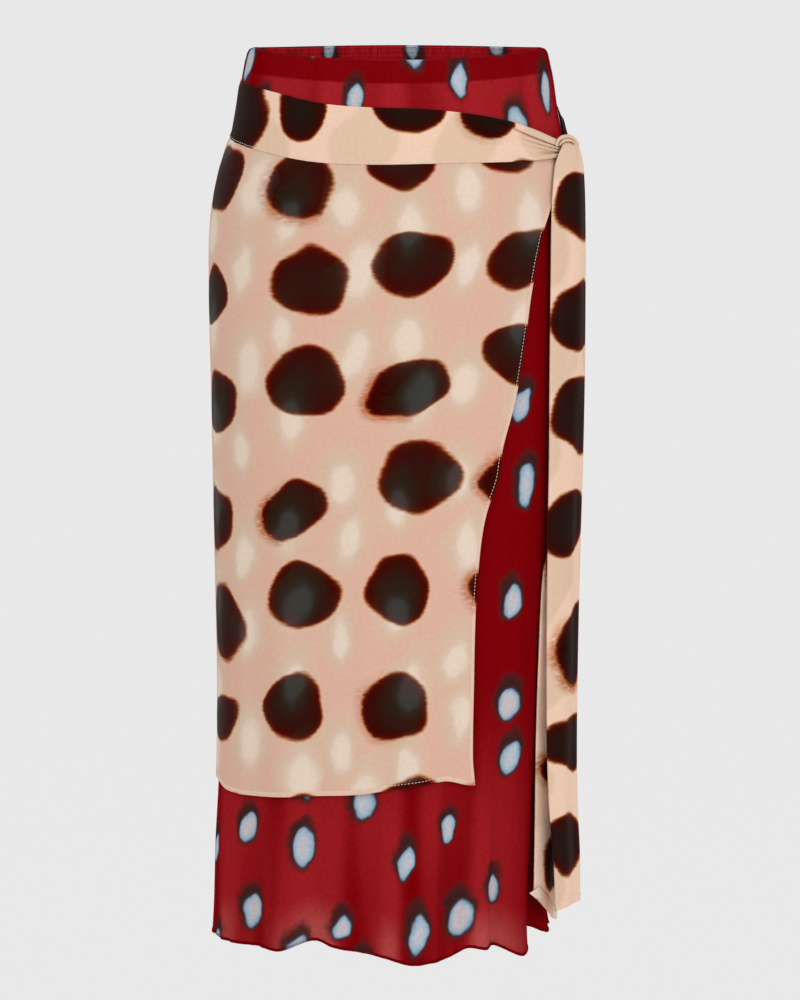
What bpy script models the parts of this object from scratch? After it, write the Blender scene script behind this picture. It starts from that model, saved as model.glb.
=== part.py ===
"""A wrap skirt, worn by no one: a fluted underskirt, a wrap panel over it and a knotted sash.

Metres, +Z up. The front faces -Y and +X is the wearer's left. The origin is the middle of the
waist opening, level with the rim at the side seams.

Each piece of cloth is an open sheet through rows of points, and Solidify gives it its wall,
inwards. A place on the body is a pair: `turn`, the angle round it from the centre front in
degrees, growing towards the wearer's left, and `drop`, how far it lies below the waist in
millimetres. ring() makes a place of such a pair, and each layer is the one beneath it moved out.
"""

import bisect
import math
from collections import namedtuple

import bmesh
import bpy
from mathutils import Vector

MM = 0.001

# Walls of cloth and the air at a seam, in millimetres. The sash is doubled, the casing holds elastic.
CHIFFON_WALL = 1.2
SASH_WALL = 1.8
TAIL_WALL = 1.5
CASING_WALL = 2.0
SEAM_GAP = 0.3
CASING_GAP = 0.6

# The side seams, in degrees of turn. A panel stops this far short of one, which leaves the seam's
# gap at the inner corners, where the two walls lean together.
RIGHT_SEAM = -90.0
LEFT_SEAM = 90.0
SEAM_TURN = 0.17

# How square the form's rings are: 2 is an ellipse.
ROUNDING = 2.15

# The waist rim dips in front and rises behind, measured from the side seams.
RIM_DIP = 17.0
RIM_RISE = 6.0
CASING_DEPTH = 22.0

# The underskirt's outer face over a general figure: half widths to the wearer's right and left of
# the origin, and depths in front of it and behind.
Level = namedtuple("Level", "drop right left front back")
FORM = (
    Level(-12, 139.5, 139.5, 96.0, 100.0),
    Level(0, 142.5, 142.5, 98.0, 102.0),
    Level(30, 148.5, 148.5, 101.0, 106.0),
    Level(55, 152.0, 152.0, 103.5, 110.0),
    Level(84, 157.2, 157.4, 107.0, 115.0),
    Level(100, 161.4, 161.6, 109.5, 118.0),
    Level(119, 167.2, 167.2, 112.5, 121.5),
    Level(148, 173.6, 173.4, 116.0, 126.5),
    Level(174, 176.6, 176.4, 118.0, 130.0),
    Level(208, 177.6, 177.4, 119.0, 132.0),
    Level(260, 177.2, 176.6, 119.0, 131.0),
    Level(311, 176.0, 174.6, 118.5, 128.0),
    Level(390, 174.4, 170.8, 118.0, 124.0),
    Level(492, 172.4, 165.2, 117.0, 120.5),
    Level(607, 170.2, 158.4, 116.0, 118.0),
    Level(696, 170.4, 152.4, 115.5, 117.0),
    Level(758, 172.6, 147.6, 115.5, 117.0),
    Level(815, 173.4, 143.6, 115.8, 117.6),
    Level(850, 174.8, 144.0, 116.0, 118.0),
    Level(870, 175.2, 144.4, 116.0, 118.0),
)

# The underskirt's hem: a row for each crest and hollow of its flutes. They die out upwards.
Flute = namedtuple("Flute", "turn drop out")
FLUTES_FROM = 520.0
FLUTES_FULL = 852.0
FLUTE_SWEEP = 1.6
HEM = (
    Flute(-90, 848, 3),
    Flute(-73, 854, 0),
    Flute(-61, 858, 5),
    Flute(-48, 854, -4),
    Flute(-38, 856, 4),
    Flute(-27, 845, -4),
    Flute(-19, 851, 3),
    Flute(-8, 857, -2),
    Flute(4, 866, 6),
    Flute(12, 865, 4),
    Flute(20, 861, -6),
    Flute(27, 852, -2),
    Flute(34, 854, 4),
    Flute(39, 851, -2),
    Flute(51, 862, 9),
    Flute(64, 839, -13),
    Flute(77, 848, 3),
    Flute(90, 847, 1),
    Flute(100, 852, 5),
    Flute(112, 846, -4),
    Flute(124, 854, 5),
    Flute(138, 848, -3),
    Flute(149, 856, 4),
    Flute(161, 847, -5),
    Flute(174, 855, 5),
    Flute(187, 850, -3),
    Flute(198, 857, 4),
    Flute(211, 847, -5),
    Flute(223, 853, 4),
    Flute(236, 848, -3),
    Flute(248, 855, 4),
    Flute(260, 847, -3),
    Flute(270, 848, 3),
)

# The sash, all the way round from the knot's back (80) to its front (428): its upper and lower
# edges, how far its pleats stand up as it is gathered into the knot, and how far it lifts there.
Band = namedtuple("Band", "turn top bottom gather lift")
SASH = (
    Band(80.2, 86.5, 103.0, 1.0, 4.2),
    Band(86, 79.0, 102.0, 0.5, 1.0),
    Band(97, 60.0, 97.0, 0.2, 0.0),
    Band(110, 47.5, 90.0, 0.1, 0.0),
    Band(130, 38.0, 85.5, 0.0, 0.0),
    Band(160, 33.0, 83.5, 0.0, 0.0),
    Band(200, 31.0, 83.0, 0.0, 0.0),
    Band(240, 29.5, 83.0, 0.0, 0.0),
    Band(270, 31.5, 85.5, 0.0, 0.0),
    Band(294, 38.0, 93.5, 0.0, 0.0),
    Band(312, 45.5, 102.0, 0.0, 0.0),
    Band(333, 56.5, 111.5, 0.0, 0.0),
    Band(351, 60.5, 114.0, 0.0, 0.0),
    Band(370, 62.0, 113.2, 0.0, 0.0),
    Band(397, 70.5, 111.2, 0.3, 0.4),
    Band(412, 80.0, 109.0, 0.75, 1.6),
    Band(422, 87.5, 106.6, 1.0, 3.2),
    Band(427.8, 91.0, 104.8, 1.0, 5.0),
)
SASH_OUT = 2.8

# The pleats across the sash, from its upper edge (0) to its lower (1). The first is a rolled fold.
Pleat = namedtuple("Pleat", "place half_width height")
PLEATS = (
    Pleat(0.08, 0.10, 2.4),
    Pleat(0.36, 0.11, 1.9),
    Pleat(0.60, 0.10, 1.7),
    Pleat(0.86, 0.11, 1.9),
)

# The wrap panel stands off the underskirt by this much, from the seam under the sash downwards.
Lift = namedtuple("Lift", "below out")
OVERLAY_LIFT = (
    Lift(0, 2.8),
    Lift(7, 4.6),
    Lift(30, 4.2),
    Lift(70, 3.3),
    Lift(160, 2.9),
    Lift(400, 2.9),
    Lift(620, 2.6),
)
# Its free edges stand off a little more, within this much turn of them and from here down.
FREE_EDGE_LIFT = 1.4
FREE_EDGE_TURN = 14.0
FREE_EDGE_FULL = 60.0

# The slanted wrap edge: how far it lies from the centre front, by drop.
Edge = namedtuple("Edge", "drop across")
WRAP_EDGE = (
    Edge(105, 150.5),
    Edge(119, 149.5),
    Edge(139, 146.0),
    Edge(160, 139.6),
    Edge(182, 133.2),
    Edge(236, 122.2),
    Edge(281, 117.2),
    Edge(335, 108.6),
    Edge(378, 97.6),
    Edge(409, 93.0),
    Edge(442, 82.0),
    Edge(475, 76.4),
    Edge(535, 71.8),
    Edge(600, 70.0),
    Edge(671, 68.8),
    Edge(697, 70.6),
)
# The back panel's edge hangs straight down behind the tails.
BACK_EDGE_TURN = 101.0

OVERLAY_HEM = (
    Flute(-90, 697, 0.2),
    Flute(-76, 701, 0.6),
    Flute(-66, 707.5, 1.5),
    Flute(-54, 710.5, 0.4),
    Flute(-37, 709.5, 2.0),
    Flute(-23, 707, 0.3),
    Flute(-11, 705, 1.6),
    Flute(-2, 700.5, 0.2),
    Flute(7, 697, 2.0),
    Flute(17, 693, 0.4),
    Flute(26, 697, 2.5),
    Flute(60, 696, 1.0),
    Flute(101, 699, 2.5),
    Flute(120, 697, 0.2),
    Flute(141, 702, 2.6),
    Flute(165, 706, 0.4),
    Flute(188, 703, 2.8),
    Flute(214, 706, 0.4),
    Flute(238, 702, 2.2),
    Flute(256, 699, 0.8),
    Flute(270, 697, 0.2),
)
OVERLAY_FOLDS_FROM = 430.0
OVERLAY_FOLDS_FULL = 700.0

# The knot: where its middle lies, and half its size along the sash, outwards and upwards.
KNOT_TURN = 74.0
KNOT_DROP = 94.5
KNOT_OUT = 8.6
KNOT_HALF_ALONG = 13.0
KNOT_HALF_OUT = 8.0
KNOT_HALF_UP = 10.0
KNOT_SEGMENTS = 20
KNOT_RINGS = 12
KNOT_WRAPS = 3
KNOT_WRAP_DEPTH = 0.06

# The tails: their left edge, middle line and right edge as they hang, seen from above, by drop.
# Their ends are cut on the slant.
Section = namedtuple("Section", "drop left_x left_y middle_x middle_y right_x right_y")
TAIL_FRONT = (
    Section(92.0, 157.0, -53.0, 165.3, -47.5, 171.0, -36.0),
    Section(98.0, 154.8, -57.5, 165.8, -51.0, 173.0, -36.6),
    Section(105.0, 151.6, -61.5, 166.3, -54.0, 175.0, -37.0),
    Section(116.0, 148.6, -67.0, 167.0, -56.5, 176.8, -37.5),
    Section(140.0, 146.6, -77.0, 167.5, -60.0, 178.2, -38.0),
    Section(174.0, 145.4, -82.5, 167.5, -61.5, 178.8, -38.0),
    Section(208.0, 145.0, -83.5, 167.3, -62.0, 179.0, -38.0),
    Section(311.0, 144.0, -82.5, 166.6, -61.5, 178.4, -37.5),
    Section(390.0, 143.6, -81.0, 166.0, -60.5, 177.0, -36.5),
    Section(460.0, 142.6, -80.5, 164.8, -60.0, 175.0, -35.5),
    Section(556.0, 141.6, -80.0, 163.2, -59.5, 172.8, -35.0),
    Section(654.0, 142.0, -80.0, 162.6, -59.0, 171.6, -34.5),
    Section(720.0, 144.2, -81.0, 163.0, -59.0, 172.2, -34.0),
    Section(770.0, 148.6, -82.0, 165.0, -59.5, 174.6, -34.5),
    Section(822.0, 150.6, -82.0, 165.8, -59.5, 174.6, -34.5),
)
TAIL_FRONT_END = (820.0, 811.0)
TAIL_BACK = (
    Section(103.8, 159.0, -42.0, 162.6, -34.4, 165.4, -26.5),
    Section(116.0, 156.6, -51.0, 165.6, -40.5, 170.2, -28.5),
    Section(140.0, 151.8, -63.5, 167.0, -48.5, 174.4, -31.0),
    Section(174.0, 149.0, -72.5, 166.0, -53.5, 176.2, -33.0),
    Section(208.0, 148.0, -75.0, 165.2, -55.0, 176.0, -33.5),
    Section(311.0, 147.0, -75.5, 164.4, -55.5, 174.4, -33.0),
    Section(390.0, 146.6, -75.5, 163.4, -55.0, 172.2, -32.0),
    Section(470.0, 144.8, -75.0, 161.4, -54.5, 169.6, -31.0),
    Section(500.0, 138.2, -74.5, 158.4, -54.5, 168.4, -31.0),
    Section(590.0, 133.8, -73.5, 154.6, -54.0, 164.6, -30.5),
    Section(660.0, 131.8, -73.0, 152.4, -53.5, 162.0, -30.0),
    Section(745.0, 130.8, -73.5, 149.8, -54.0, 157.4, -29.0),
    Section(828.0, 129.6, -74.0, 144.4, -55.0, 149.4, -31.0),
)
TAIL_BACK_END = (802.0, 826.0)

# How finely each sheet is drawn: its number of columns, and its rows, or their shares of the way
# down. The sash's columns come in spans of turn (start, end, number), dense by the knot.
UNDERSKIRT_COLUMNS = 42
UNDERSKIRT_ROWS = (
    0, 0.035, 0.065, 0.09, 0.115, 0.14, 0.17, 0.21, 0.27, 0.38, 0.52, 0.64, 0.74, 0.83, 0.92, 1
)
OVERLAY_COLUMNS = 26
OVERLAY_ROWS = (0, 0.012, 0.04, 0.09, 0.16, 0.26, 0.38, 0.5, 0.62, 0.74, 0.84, 0.93, 1)
BACK_OVERLAY_COLUMNS = 24
SASH_BACK_SPANS = ((SASH[0].turn, 112.0, 10), (112.0, 270.0, 18))
SASH_FRONT_SPANS = ((270.0, 390.0, 16), (390.0, SASH[-1].turn, 14))
SASH_ROWS = 12
CASING_COLUMNS = 28
CASING_ROWS = 2
TAIL_COLUMNS = 6
TAIL_ROWS = (
    0, 0.009, 0.019, 0.032, 0.05, 0.075, 0.11, 0.16, 0.23, 0.31, 0.4,
    0.49, 0.54, 0.58, 0.66, 0.75, 0.84, 0.93, 1
)
# Rounds of nearing a place where turn and drop each hang on the other, and of halving a span.
SETTLING = 6
HALVINGS = 30

RED = (0.30, 0.004, 0.008)
PEACH = (0.78, 0.58, 0.44)
CASING_RED = (0.18, 0.003, 0.006)
CLOTH_ROUGHNESS = 0.85


def read(table, at, column):
    """A column's value between a table's rows, on a smooth curve through them."""
    keys = [row[0] for row in table]
    values = [getattr(row, column) for row in table]
    if at <= keys[0]:
        return values[0]
    if at >= keys[-1]:
        return values[-1]
    i = bisect.bisect_right(keys, at) - 1
    span = keys[i + 1] - keys[i]
    share = (at - keys[i]) / span

    def slope(k):
        before = max(k - 1, 0)
        after = min(k + 1, len(keys) - 1)
        return (values[after] - values[before]) / (keys[after] - keys[before])

    square = share * share
    cube = square * share
    return (
        (2 * cube - 3 * square + 1) * values[i]
        + (cube - 2 * square + share) * span * slope(i)
        + (3 * square - 2 * cube) * values[i + 1]
        + (cube - square) * span * slope(i + 1)
    )


def read_round(table, turn, column):
    """A column's value in a table that goes once round the body, from seam to the same seam."""
    first, second = table[:2]
    before = table[-2]
    round_table = (
        before._replace(turn=before.turn - 360),
        *table,
        second._replace(turn=second.turn + 360),
    )
    return read(round_table, (turn - first.turn) % 360 + first.turn, column)


def fade(at, start, full):
    """0 before start and 1 past full, easing between them."""
    share = min(max((at - start) / (full - start), 0.0), 1.0)
    return share * share * (3 - 2 * share)


def between(first, last, count):
    """Evenly spaced values, both ends included."""
    return [first + (last - first) * i / count for i in range(count + 1)]


def spans(parts):
    """The turns of a sheet's columns, from spans of (start, end, number)."""
    turns = [parts[0][0]]
    for first, last, count in parts:
        turns += between(first, last, count)[1:]
    return turns


def ring(turn, drop, out=0.0):
    """The place at this turn and drop, moved out square to the form's ring there."""
    side = math.sin(math.radians(turn))
    ahead = math.cos(math.radians(turn))
    width = read(FORM, drop, "left" if side > 0 else "right")
    depth = read(FORM, drop, "front" if ahead > 0 else "back")
    reach = (abs(side) ** ROUNDING + abs(ahead) ** ROUNDING) ** (-1 / ROUNDING)
    across = math.copysign(abs(reach * side) ** (ROUNDING - 1) / width, side)
    along = math.copysign(abs(reach * ahead) ** (ROUNDING - 1) / depth, -ahead)
    steep = math.hypot(across, along)
    return Vector(
        (
            width * reach * side + out * across / steep,
            -depth * reach * ahead + out * along / steep,
            -drop,
        )
    )


def rim_drop(turn):
    """How far the waist rim lies below the side seams."""
    ahead = math.cos(math.radians(turn))
    return (RIM_DIP + RIM_RISE) / 2 * ahead + (RIM_DIP - RIM_RISE) / 2 * ahead * ahead


def underskirt(turn, drop, out=0.0):
    """A point on the underskirt's outer face, or that far out from it."""
    flare = fade(drop, FLUTES_FROM, FLUTES_FULL) ** FLUTE_SWEEP
    return ring(turn, drop, read_round(HEM, turn, "out") * flare + out)


def overlay(turn, drop, seam_drop, from_edge):
    """A point on the wrap panel's outer face: the underskirt's, moved out."""
    lift = read(OVERLAY_LIFT, drop - seam_drop, "out")
    near_edge = 1 - fade(from_edge, 0, FREE_EDGE_TURN)
    free = FREE_EDGE_LIFT * near_edge * fade(drop - seam_drop, 0, FREE_EDGE_FULL)
    folded = fade(drop, OVERLAY_FOLDS_FROM, OVERLAY_FOLDS_FULL)
    folds = read_round(OVERLAY_HEM, turn, "out") * folded
    return underskirt(turn, drop, lift + free + folds)


def turn_at(across, drop):
    """The turn on the wearer's left front where the form lies this far from the centre front."""
    low = 0.0
    high = LEFT_SEAM
    for _ in range(HALVINGS):
        middle = (low + high) / 2
        if ring(middle, drop).x < across:
            low = middle
        else:
            high = middle
    return (low + high) / 2


def pleat_height(place, gather):
    """How far the sash's pleats stand up at this place across it."""
    height = 0.0
    for pleat in PLEATS:
        near = abs(place - pleat.place) / pleat.half_width
        if near < 1:
            height += pleat.height * (1 + math.cos(math.pi * near)) / 2
    return height * gather


def knot_frame():
    """The knot's middle, and its axes along the sash, outwards and up, each at its half size."""
    middle = ring(KNOT_TURN, KNOT_DROP, KNOT_OUT)
    outwards = (ring(KNOT_TURN, KNOT_DROP, KNOT_OUT + 1) - middle).normalized()
    up = Vector((0, 0, 1))
    along = up.cross(outwards)
    return middle, along * KNOT_HALF_ALONG, outwards * KNOT_HALF_OUT, up * KNOT_HALF_UP


def clear_of_knot(point, wall):
    """The point, moved out of the knot until a wall of this thickness lies on it."""
    middle, *axes = knot_frame()
    from_middle = point - middle
    room = wall + 2 * SEAM_GAP
    shares = [from_middle.dot(axis.normalized()) / (axis.length + room) for axis in axes]
    inside = math.hypot(*shares)
    if inside >= 1:
        return point
    return middle + from_middle / inside


def sash_point(turn, place):
    """A point on the sash's outer face, from its upper edge (0) to its lower (1)."""
    top = read(SASH, turn, "top")
    bottom = read(SASH, turn, "bottom")
    raised = pleat_height(place, read(SASH, turn, "gather")) + read(SASH, turn, "lift")
    return underskirt(turn, top + place * (bottom - top), SASH_OUT + raised)


def tail_point(table, ends, over_knot, share_down, share_across):
    """A point on a tail's outer face: its section at that drop bends from edge to edge."""
    end = ends[0] + (ends[1] - ends[0]) * share_across
    drop = table[0].drop + share_down * (end - table[0].drop)
    # A parabola through the left edge, the middle line and the right edge.
    left = 2 * (share_across - 0.5) * (share_across - 1)
    middle = 4 * share_across * (1 - share_across)
    right = 2 * share_across * (share_across - 0.5)
    x, y = (
        left * read(table, drop, "left_" + axis)
        + middle * read(table, drop, "middle_" + axis)
        + right * read(table, drop, "right_" + axis)
        for axis in "xy"
    )
    return clear_of_knot(Vector((x, y, -drop)), TAIL_WALL if over_knot else 0)


def material(name, colour):
    """A plain cloth material."""
    made = bpy.data.materials.new(name)
    made.use_nodes = True
    shader = made.node_tree.nodes["Principled BSDF"]
    shader.inputs["Base Color"].default_value = (*colour, 1.0)
    shader.inputs["Roughness"].default_value = CLOTH_ROUGHNESS
    shader.inputs["Metallic"].default_value = 0.0
    return made


def add_object(name, mesh, colour, collection):
    """A smooth object of this mesh, in its collection, with a material of its own."""
    mesh.shade_smooth()
    piece = bpy.data.objects.new(name, mesh)
    piece.data.materials.append(material(name + "_cloth", colour))
    collection.objects.link(piece)
    return piece


def add_sheet(name, rows, wall, colour, collection):
    """A sheet lofted through rows of points, each from left to right as seen from outside."""
    columns = len(rows[0])
    points = [point * MM for row in rows for point in row]
    faces = []
    for r in range(len(rows) - 1):
        for c in range(columns - 1):
            corner = r * columns + c
            faces.append((corner, corner + columns, corner + columns + 1, corner + 1))
    mesh = bpy.data.meshes.new(name)
    mesh.from_pydata(points, [], faces)
    piece = add_object(name, mesh, colour, collection)
    solidify = piece.modifiers.new("wall", "SOLIDIFY")
    solidify.thickness = wall * MM
    solidify.offset = -1.0
    solidify.use_even_offset = True
    return piece


def add_underskirt(name, first, last, collection):
    """A red panel from the waist rim to the fluted hem."""
    turns = between(first + SEAM_TURN, last - SEAM_TURN, UNDERSKIRT_COLUMNS)
    rows = []
    for share in UNDERSKIRT_ROWS:
        row = []
        for turn in turns:
            top = rim_drop(turn)
            bottom = read_round(HEM, turn, "drop")
            row.append(underskirt(turn, top + share * (bottom - top)))
        rows.append(row)
    add_sheet(name, rows, CHIFFON_WALL, RED, collection)


def add_casing(name, first, last, collection):
    """The turned-in waist casing with its elastic, against the underskirt's inner face."""
    turns = between(first + SEAM_TURN, last - SEAM_TURN, CASING_COLUMNS)
    inside = -(CHIFFON_WALL + CASING_GAP)
    rows = [
        [underskirt(turn, rim_drop(turn) + share * CASING_DEPTH, inside) for turn in turns]
        for share in between(0, 1, CASING_ROWS)
    ]
    add_sheet(name, rows, CASING_WALL, CASING_RED, collection)


def add_sash(name, parts, collection):
    """The sash over one side of the body, gathered where it meets the knot."""
    turns = spans(parts)
    turns[0] += SEAM_TURN
    turns[-1] -= SEAM_TURN
    rows = [[sash_point(turn, place) for turn in turns] for place in between(0, 1, SASH_ROWS)]
    add_sheet(name, rows, SASH_WALL, PEACH, collection)


def add_overlay_front(collection):
    """The wrap panel's front, from the right side seam to the slanted edge."""
    first = RIGHT_SEAM + SEAM_TURN
    rows = []
    for share in OVERLAY_ROWS:
        row = []
        for place in between(0, 1, OVERLAY_COLUMNS):
            edge = KNOT_TURN
            for _ in range(SETTLING):
                turn = first + place * (edge - first)
                seam_drop = read(SASH, turn + 360, "bottom") + SEAM_GAP
                drop = seam_drop + share * (read_round(OVERLAY_HEM, turn, "drop") - seam_drop)
                edge = turn_at(read(WRAP_EDGE, drop, "across"), drop)
            row.append(overlay(turn, drop, seam_drop, edge - turn))
        rows.append(row)
    add_sheet("overlay_front", rows, CHIFFON_WALL, PEACH, collection)


def add_overlay_back(collection):
    """The wrap panel's back, from its free edge behind the tails round to the right side seam."""
    turns = between(BACK_EDGE_TURN, RIGHT_SEAM + 360 - SEAM_TURN, BACK_OVERLAY_COLUMNS)
    rows = []
    for share in OVERLAY_ROWS:
        row = []
        for turn in turns:
            seam_drop = read(SASH, turn, "bottom") + SEAM_GAP
            drop = seam_drop + share * (read_round(OVERLAY_HEM, turn, "drop") - seam_drop)
            row.append(overlay(turn, drop, seam_drop, turn - BACK_EDGE_TURN))
        rows.append(row)
    add_sheet("overlay_back", rows, CHIFFON_WALL, PEACH, collection)


def add_knot(collection):
    """The knot: a round lump wrapped slantwise by the sash."""
    middle, along, outwards, up = knot_frame()
    shape = bmesh.new()
    bmesh.ops.create_uvsphere(
        shape, u_segments=KNOT_SEGMENTS, v_segments=KNOT_RINGS, radius=1.0
    )
    for vertex in shape.verts:
        x, y, z = vertex.co
        # The sphere's poles lie along the sash, and the wraps run round it from one to the other.
        wrap = math.cos(KNOT_WRAPS * (math.atan2(y, x) + z))
        size = 1 - KNOT_WRAP_DEPTH * (1 - wrap) / 2 * (1 - z * z)
        vertex.co = (middle + (along * z + up * x + outwards * y) * size) * MM
    mesh = bpy.data.meshes.new("knot")
    shape.to_mesh(mesh)
    shape.free()
    add_object("knot", mesh, PEACH, collection)


def add_tail(name, table, ends, over_knot, collection):
    """A hanging end of the sash, which falls over the knot or from under it."""
    rows = [
        [tail_point(table, ends, over_knot, down, across) for across in between(0, 1, TAIL_COLUMNS)]
        for down in TAIL_ROWS
    ]
    add_sheet(name, rows, TAIL_WALL, PEACH, collection)


def main():
    for old in list(bpy.data.objects):
        bpy.data.objects.remove(old)
    collection = bpy.data.collections.new("wrap_skirt")
    bpy.context.scene.collection.children.link(collection)
    add_underskirt("underskirt_front", RIGHT_SEAM, LEFT_SEAM, collection)
    add_underskirt("underskirt_back", LEFT_SEAM, RIGHT_SEAM + 360, collection)
    add_casing("casing_front", RIGHT_SEAM, LEFT_SEAM, collection)
    add_casing("casing_back", LEFT_SEAM, RIGHT_SEAM + 360, collection)
    add_overlay_front(collection)
    add_overlay_back(collection)
    add_sash("sash_front", SASH_FRONT_SPANS, collection)
    add_sash("sash_back", SASH_BACK_SPANS, collection)
    add_knot(collection)
    add_tail("tail_front", TAIL_FRONT, TAIL_FRONT_END, True, collection)
    add_tail("tail_back", TAIL_BACK, TAIL_BACK_END, False, collection)


main()
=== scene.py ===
# %% [markdown]
# # A wrap skirt of printed chiffon
#
# The real garment is two skirts in one. Underneath is a red pull-on skirt with an elastic waist
# and a fluted hem. Over it goes a peach wrap panel, sewn to a wide sash that is knotted at the
# wearer's left hip. The CAD model already has the worn form, in plain thick walls. This lesson
# dresses that form: thin cloth with soft creases, turned hems, rows of stitches and the two
# prints.
#
# The frame comes first, because every piece has to sit where the CAD model says.

# %% Load the frame
import math
from collections import namedtuple

import bpy
import numpy as np
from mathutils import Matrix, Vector


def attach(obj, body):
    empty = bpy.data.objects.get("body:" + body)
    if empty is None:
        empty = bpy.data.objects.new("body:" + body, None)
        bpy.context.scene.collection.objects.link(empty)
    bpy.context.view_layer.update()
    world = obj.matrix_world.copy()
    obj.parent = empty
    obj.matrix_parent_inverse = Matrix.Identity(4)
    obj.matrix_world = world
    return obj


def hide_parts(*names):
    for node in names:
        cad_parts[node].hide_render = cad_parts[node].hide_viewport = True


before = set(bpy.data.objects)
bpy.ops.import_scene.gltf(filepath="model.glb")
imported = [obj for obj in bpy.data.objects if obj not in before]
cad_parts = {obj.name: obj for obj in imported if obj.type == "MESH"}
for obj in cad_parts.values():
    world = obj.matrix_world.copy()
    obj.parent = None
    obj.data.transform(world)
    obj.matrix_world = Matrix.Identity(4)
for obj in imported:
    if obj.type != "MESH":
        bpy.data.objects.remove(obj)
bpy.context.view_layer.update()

print("CAD nodes:", ", ".join(sorted(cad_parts)))

# %% [markdown]
# ## The camera and the studio
#
# A garment is shown from straight ahead through a long lens, so that its sides stay upright. The
# camera stands a little above its middle and looks down by a few degrees, which opens the waist
# to a narrow oval. The light is what a catalogue studio has: a floor of pale paper, two large
# soft lights in front, and a pale room all round.

# %% The camera
CAMERA_AIM = Vector((0.0024, 0.0, -0.434))
CAMERA_DISTANCE = 5.0
CAMERA_ELEVATION = math.radians(3.0)
CAMERA_LENS = 187.5
SENSOR_WIDTH = 36.0
CLIP_END = 500.0

to_camera = Vector((0.0, -math.cos(CAMERA_ELEVATION), math.sin(CAMERA_ELEVATION)))
bpy.ops.object.select_all(action="DESELECT")
bpy.ops.object.camera_add(
    location=CAMERA_AIM + CAMERA_DISTANCE * to_camera,
    rotation=(math.pi / 2 - CAMERA_ELEVATION, 0.0, 0.0),
)
camera = bpy.context.object
camera.name = "camera"
camera.data.lens = CAMERA_LENS
camera.data.sensor_width = SENSOR_WIDTH
camera.data.clip_end = CLIP_END
bpy.context.scene.camera = camera
bpy.context.scene.view_settings.view_transform = "Standard"
print("camera at", [round(value, 3) for value in camera.location])

# %% Colours and nodes
# Settings that many nodes share: a range eased at both its ends, and a mix of two colours.
SMOOTH = {"interpolation_type": "SMOOTHSTEP"}
RGBA = {"data_type": "RGBA"}


def linear(hex_colour):
    """An sRGB hex colour as the linear RGBA that a shader takes."""
    parts = (int(hex_colour[i : i + 2], 16) / 255 for i in (1, 3, 5))
    light = [p / 12.92 if p <= 0.04045 else ((p + 0.055) / 1.055) ** 2.4 for p in parts]
    return (*light, 1.0)


def add_node(tree, kind, *values, inputs=None, **settings):
    """Adds a node with its settings and links. The values fill its open inputs in their order, and
    `inputs` names others. Each is a value, a socket, or a node that gives its first open output."""
    made = tree.nodes.new("ShaderNode" + kind)
    for name, value in settings.items():
        setattr(made, name, value)
    given = list(zip([socket for socket in made.inputs if socket.enabled], values))
    given += [(made.inputs[name], value) for name, value in (inputs or {}).items()]
    for socket, value in given:
        if isinstance(value, bpy.types.Node):
            value = next(output for output in value.outputs if output.enabled)
        if isinstance(value, bpy.types.NodeSocket):
            tree.links.new(value, socket)
        else:
            socket.default_value = value
    return made


def new_material(name):
    """An empty material and its node tree."""
    made = bpy.data.materials.new(name)
    made.use_nodes = True
    made.node_tree.nodes.clear()
    return made, made.node_tree


def end_material(tree, inputs):
    """Ends a material: its shader with these inputs, and its output."""
    add_node(tree, "OutputMaterial", add_node(tree, "BsdfPrincipled", inputs=inputs))


print("mid grey gives back", round(linear("#808080")[0], 2), "of the light that white does")

# %% The paper floor
# Matt background paper: no gloss, an even pale grey. It is lit from behind the garment too, and
# that light is given to the paper as its own, so that no shadow falls on it.
PAPER_GREY = linear("#E8E8E8")
PAPER_GLOW = 0.97
FLOOR_LEVEL = -1.06
FLOOR_SIZE = 400.0

paper, tree = new_material("background_paper")
end_material(
    tree,
    {
        "Base Color": linear("#383838"),
        "Roughness": 1.0,
        "Specular IOR Level": 0.0,
        "Emission Color": PAPER_GREY,
        "Emission Strength": PAPER_GLOW,
    },
)
bpy.ops.object.select_all(action="DESELECT")
bpy.ops.mesh.primitive_plane_add(size=FLOOR_SIZE, location=(0.0, 0.0, FLOOR_LEVEL))
floor = bpy.context.object
floor.name = "paper_floor"
floor.data.materials.append(paper)
print("floor at", FLOOR_LEVEL)

# %% The lights and the room
ROOM_LIGHT = 0.83


def table(columns, *rows):
    """Rows of values as a table with named columns."""
    kind = namedtuple("Row", columns)
    return [kind(*row) for row in rows]


SOFTBOXES = table(
    "name place size watts",
    ("key_light", (-1.9, -2.6, 1.9), 1.8, 29.5),
    ("fill_light", (2.3, -3.0, 0.2), 2.4, 39.0),
)
for box in SOFTBOXES:
    turned = (CAMERA_AIM - Vector(box.place)).to_track_quat("-Z", "Y").to_euler()
    bpy.ops.object.light_add(type="AREA", location=box.place, rotation=turned)
    lamp = bpy.context.object
    lamp.name = box.name
    lamp.data.size = box.size
    lamp.data.energy = box.watts

# The room is as pale as the paper to the eye, and gives a little less than that as light.
room = bpy.data.worlds.new("pale_room")
room.use_nodes = True
tree = room.node_tree
sky = tree.nodes["Background"]
sky.inputs["Color"].default_value = PAPER_GREY
seen_by_eye = add_node(tree, "LightPath").outputs["Is Camera Ray"]
strength = add_node(tree, "MapRange", seen_by_eye, 0.0, 1.0, ROOM_LIGHT, 1.0)
tree.links.new(strength.outputs[0], sky.inputs["Strength"])
bpy.context.scene.world = room
print(len(SOFTBOXES), "soft lights")

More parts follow.
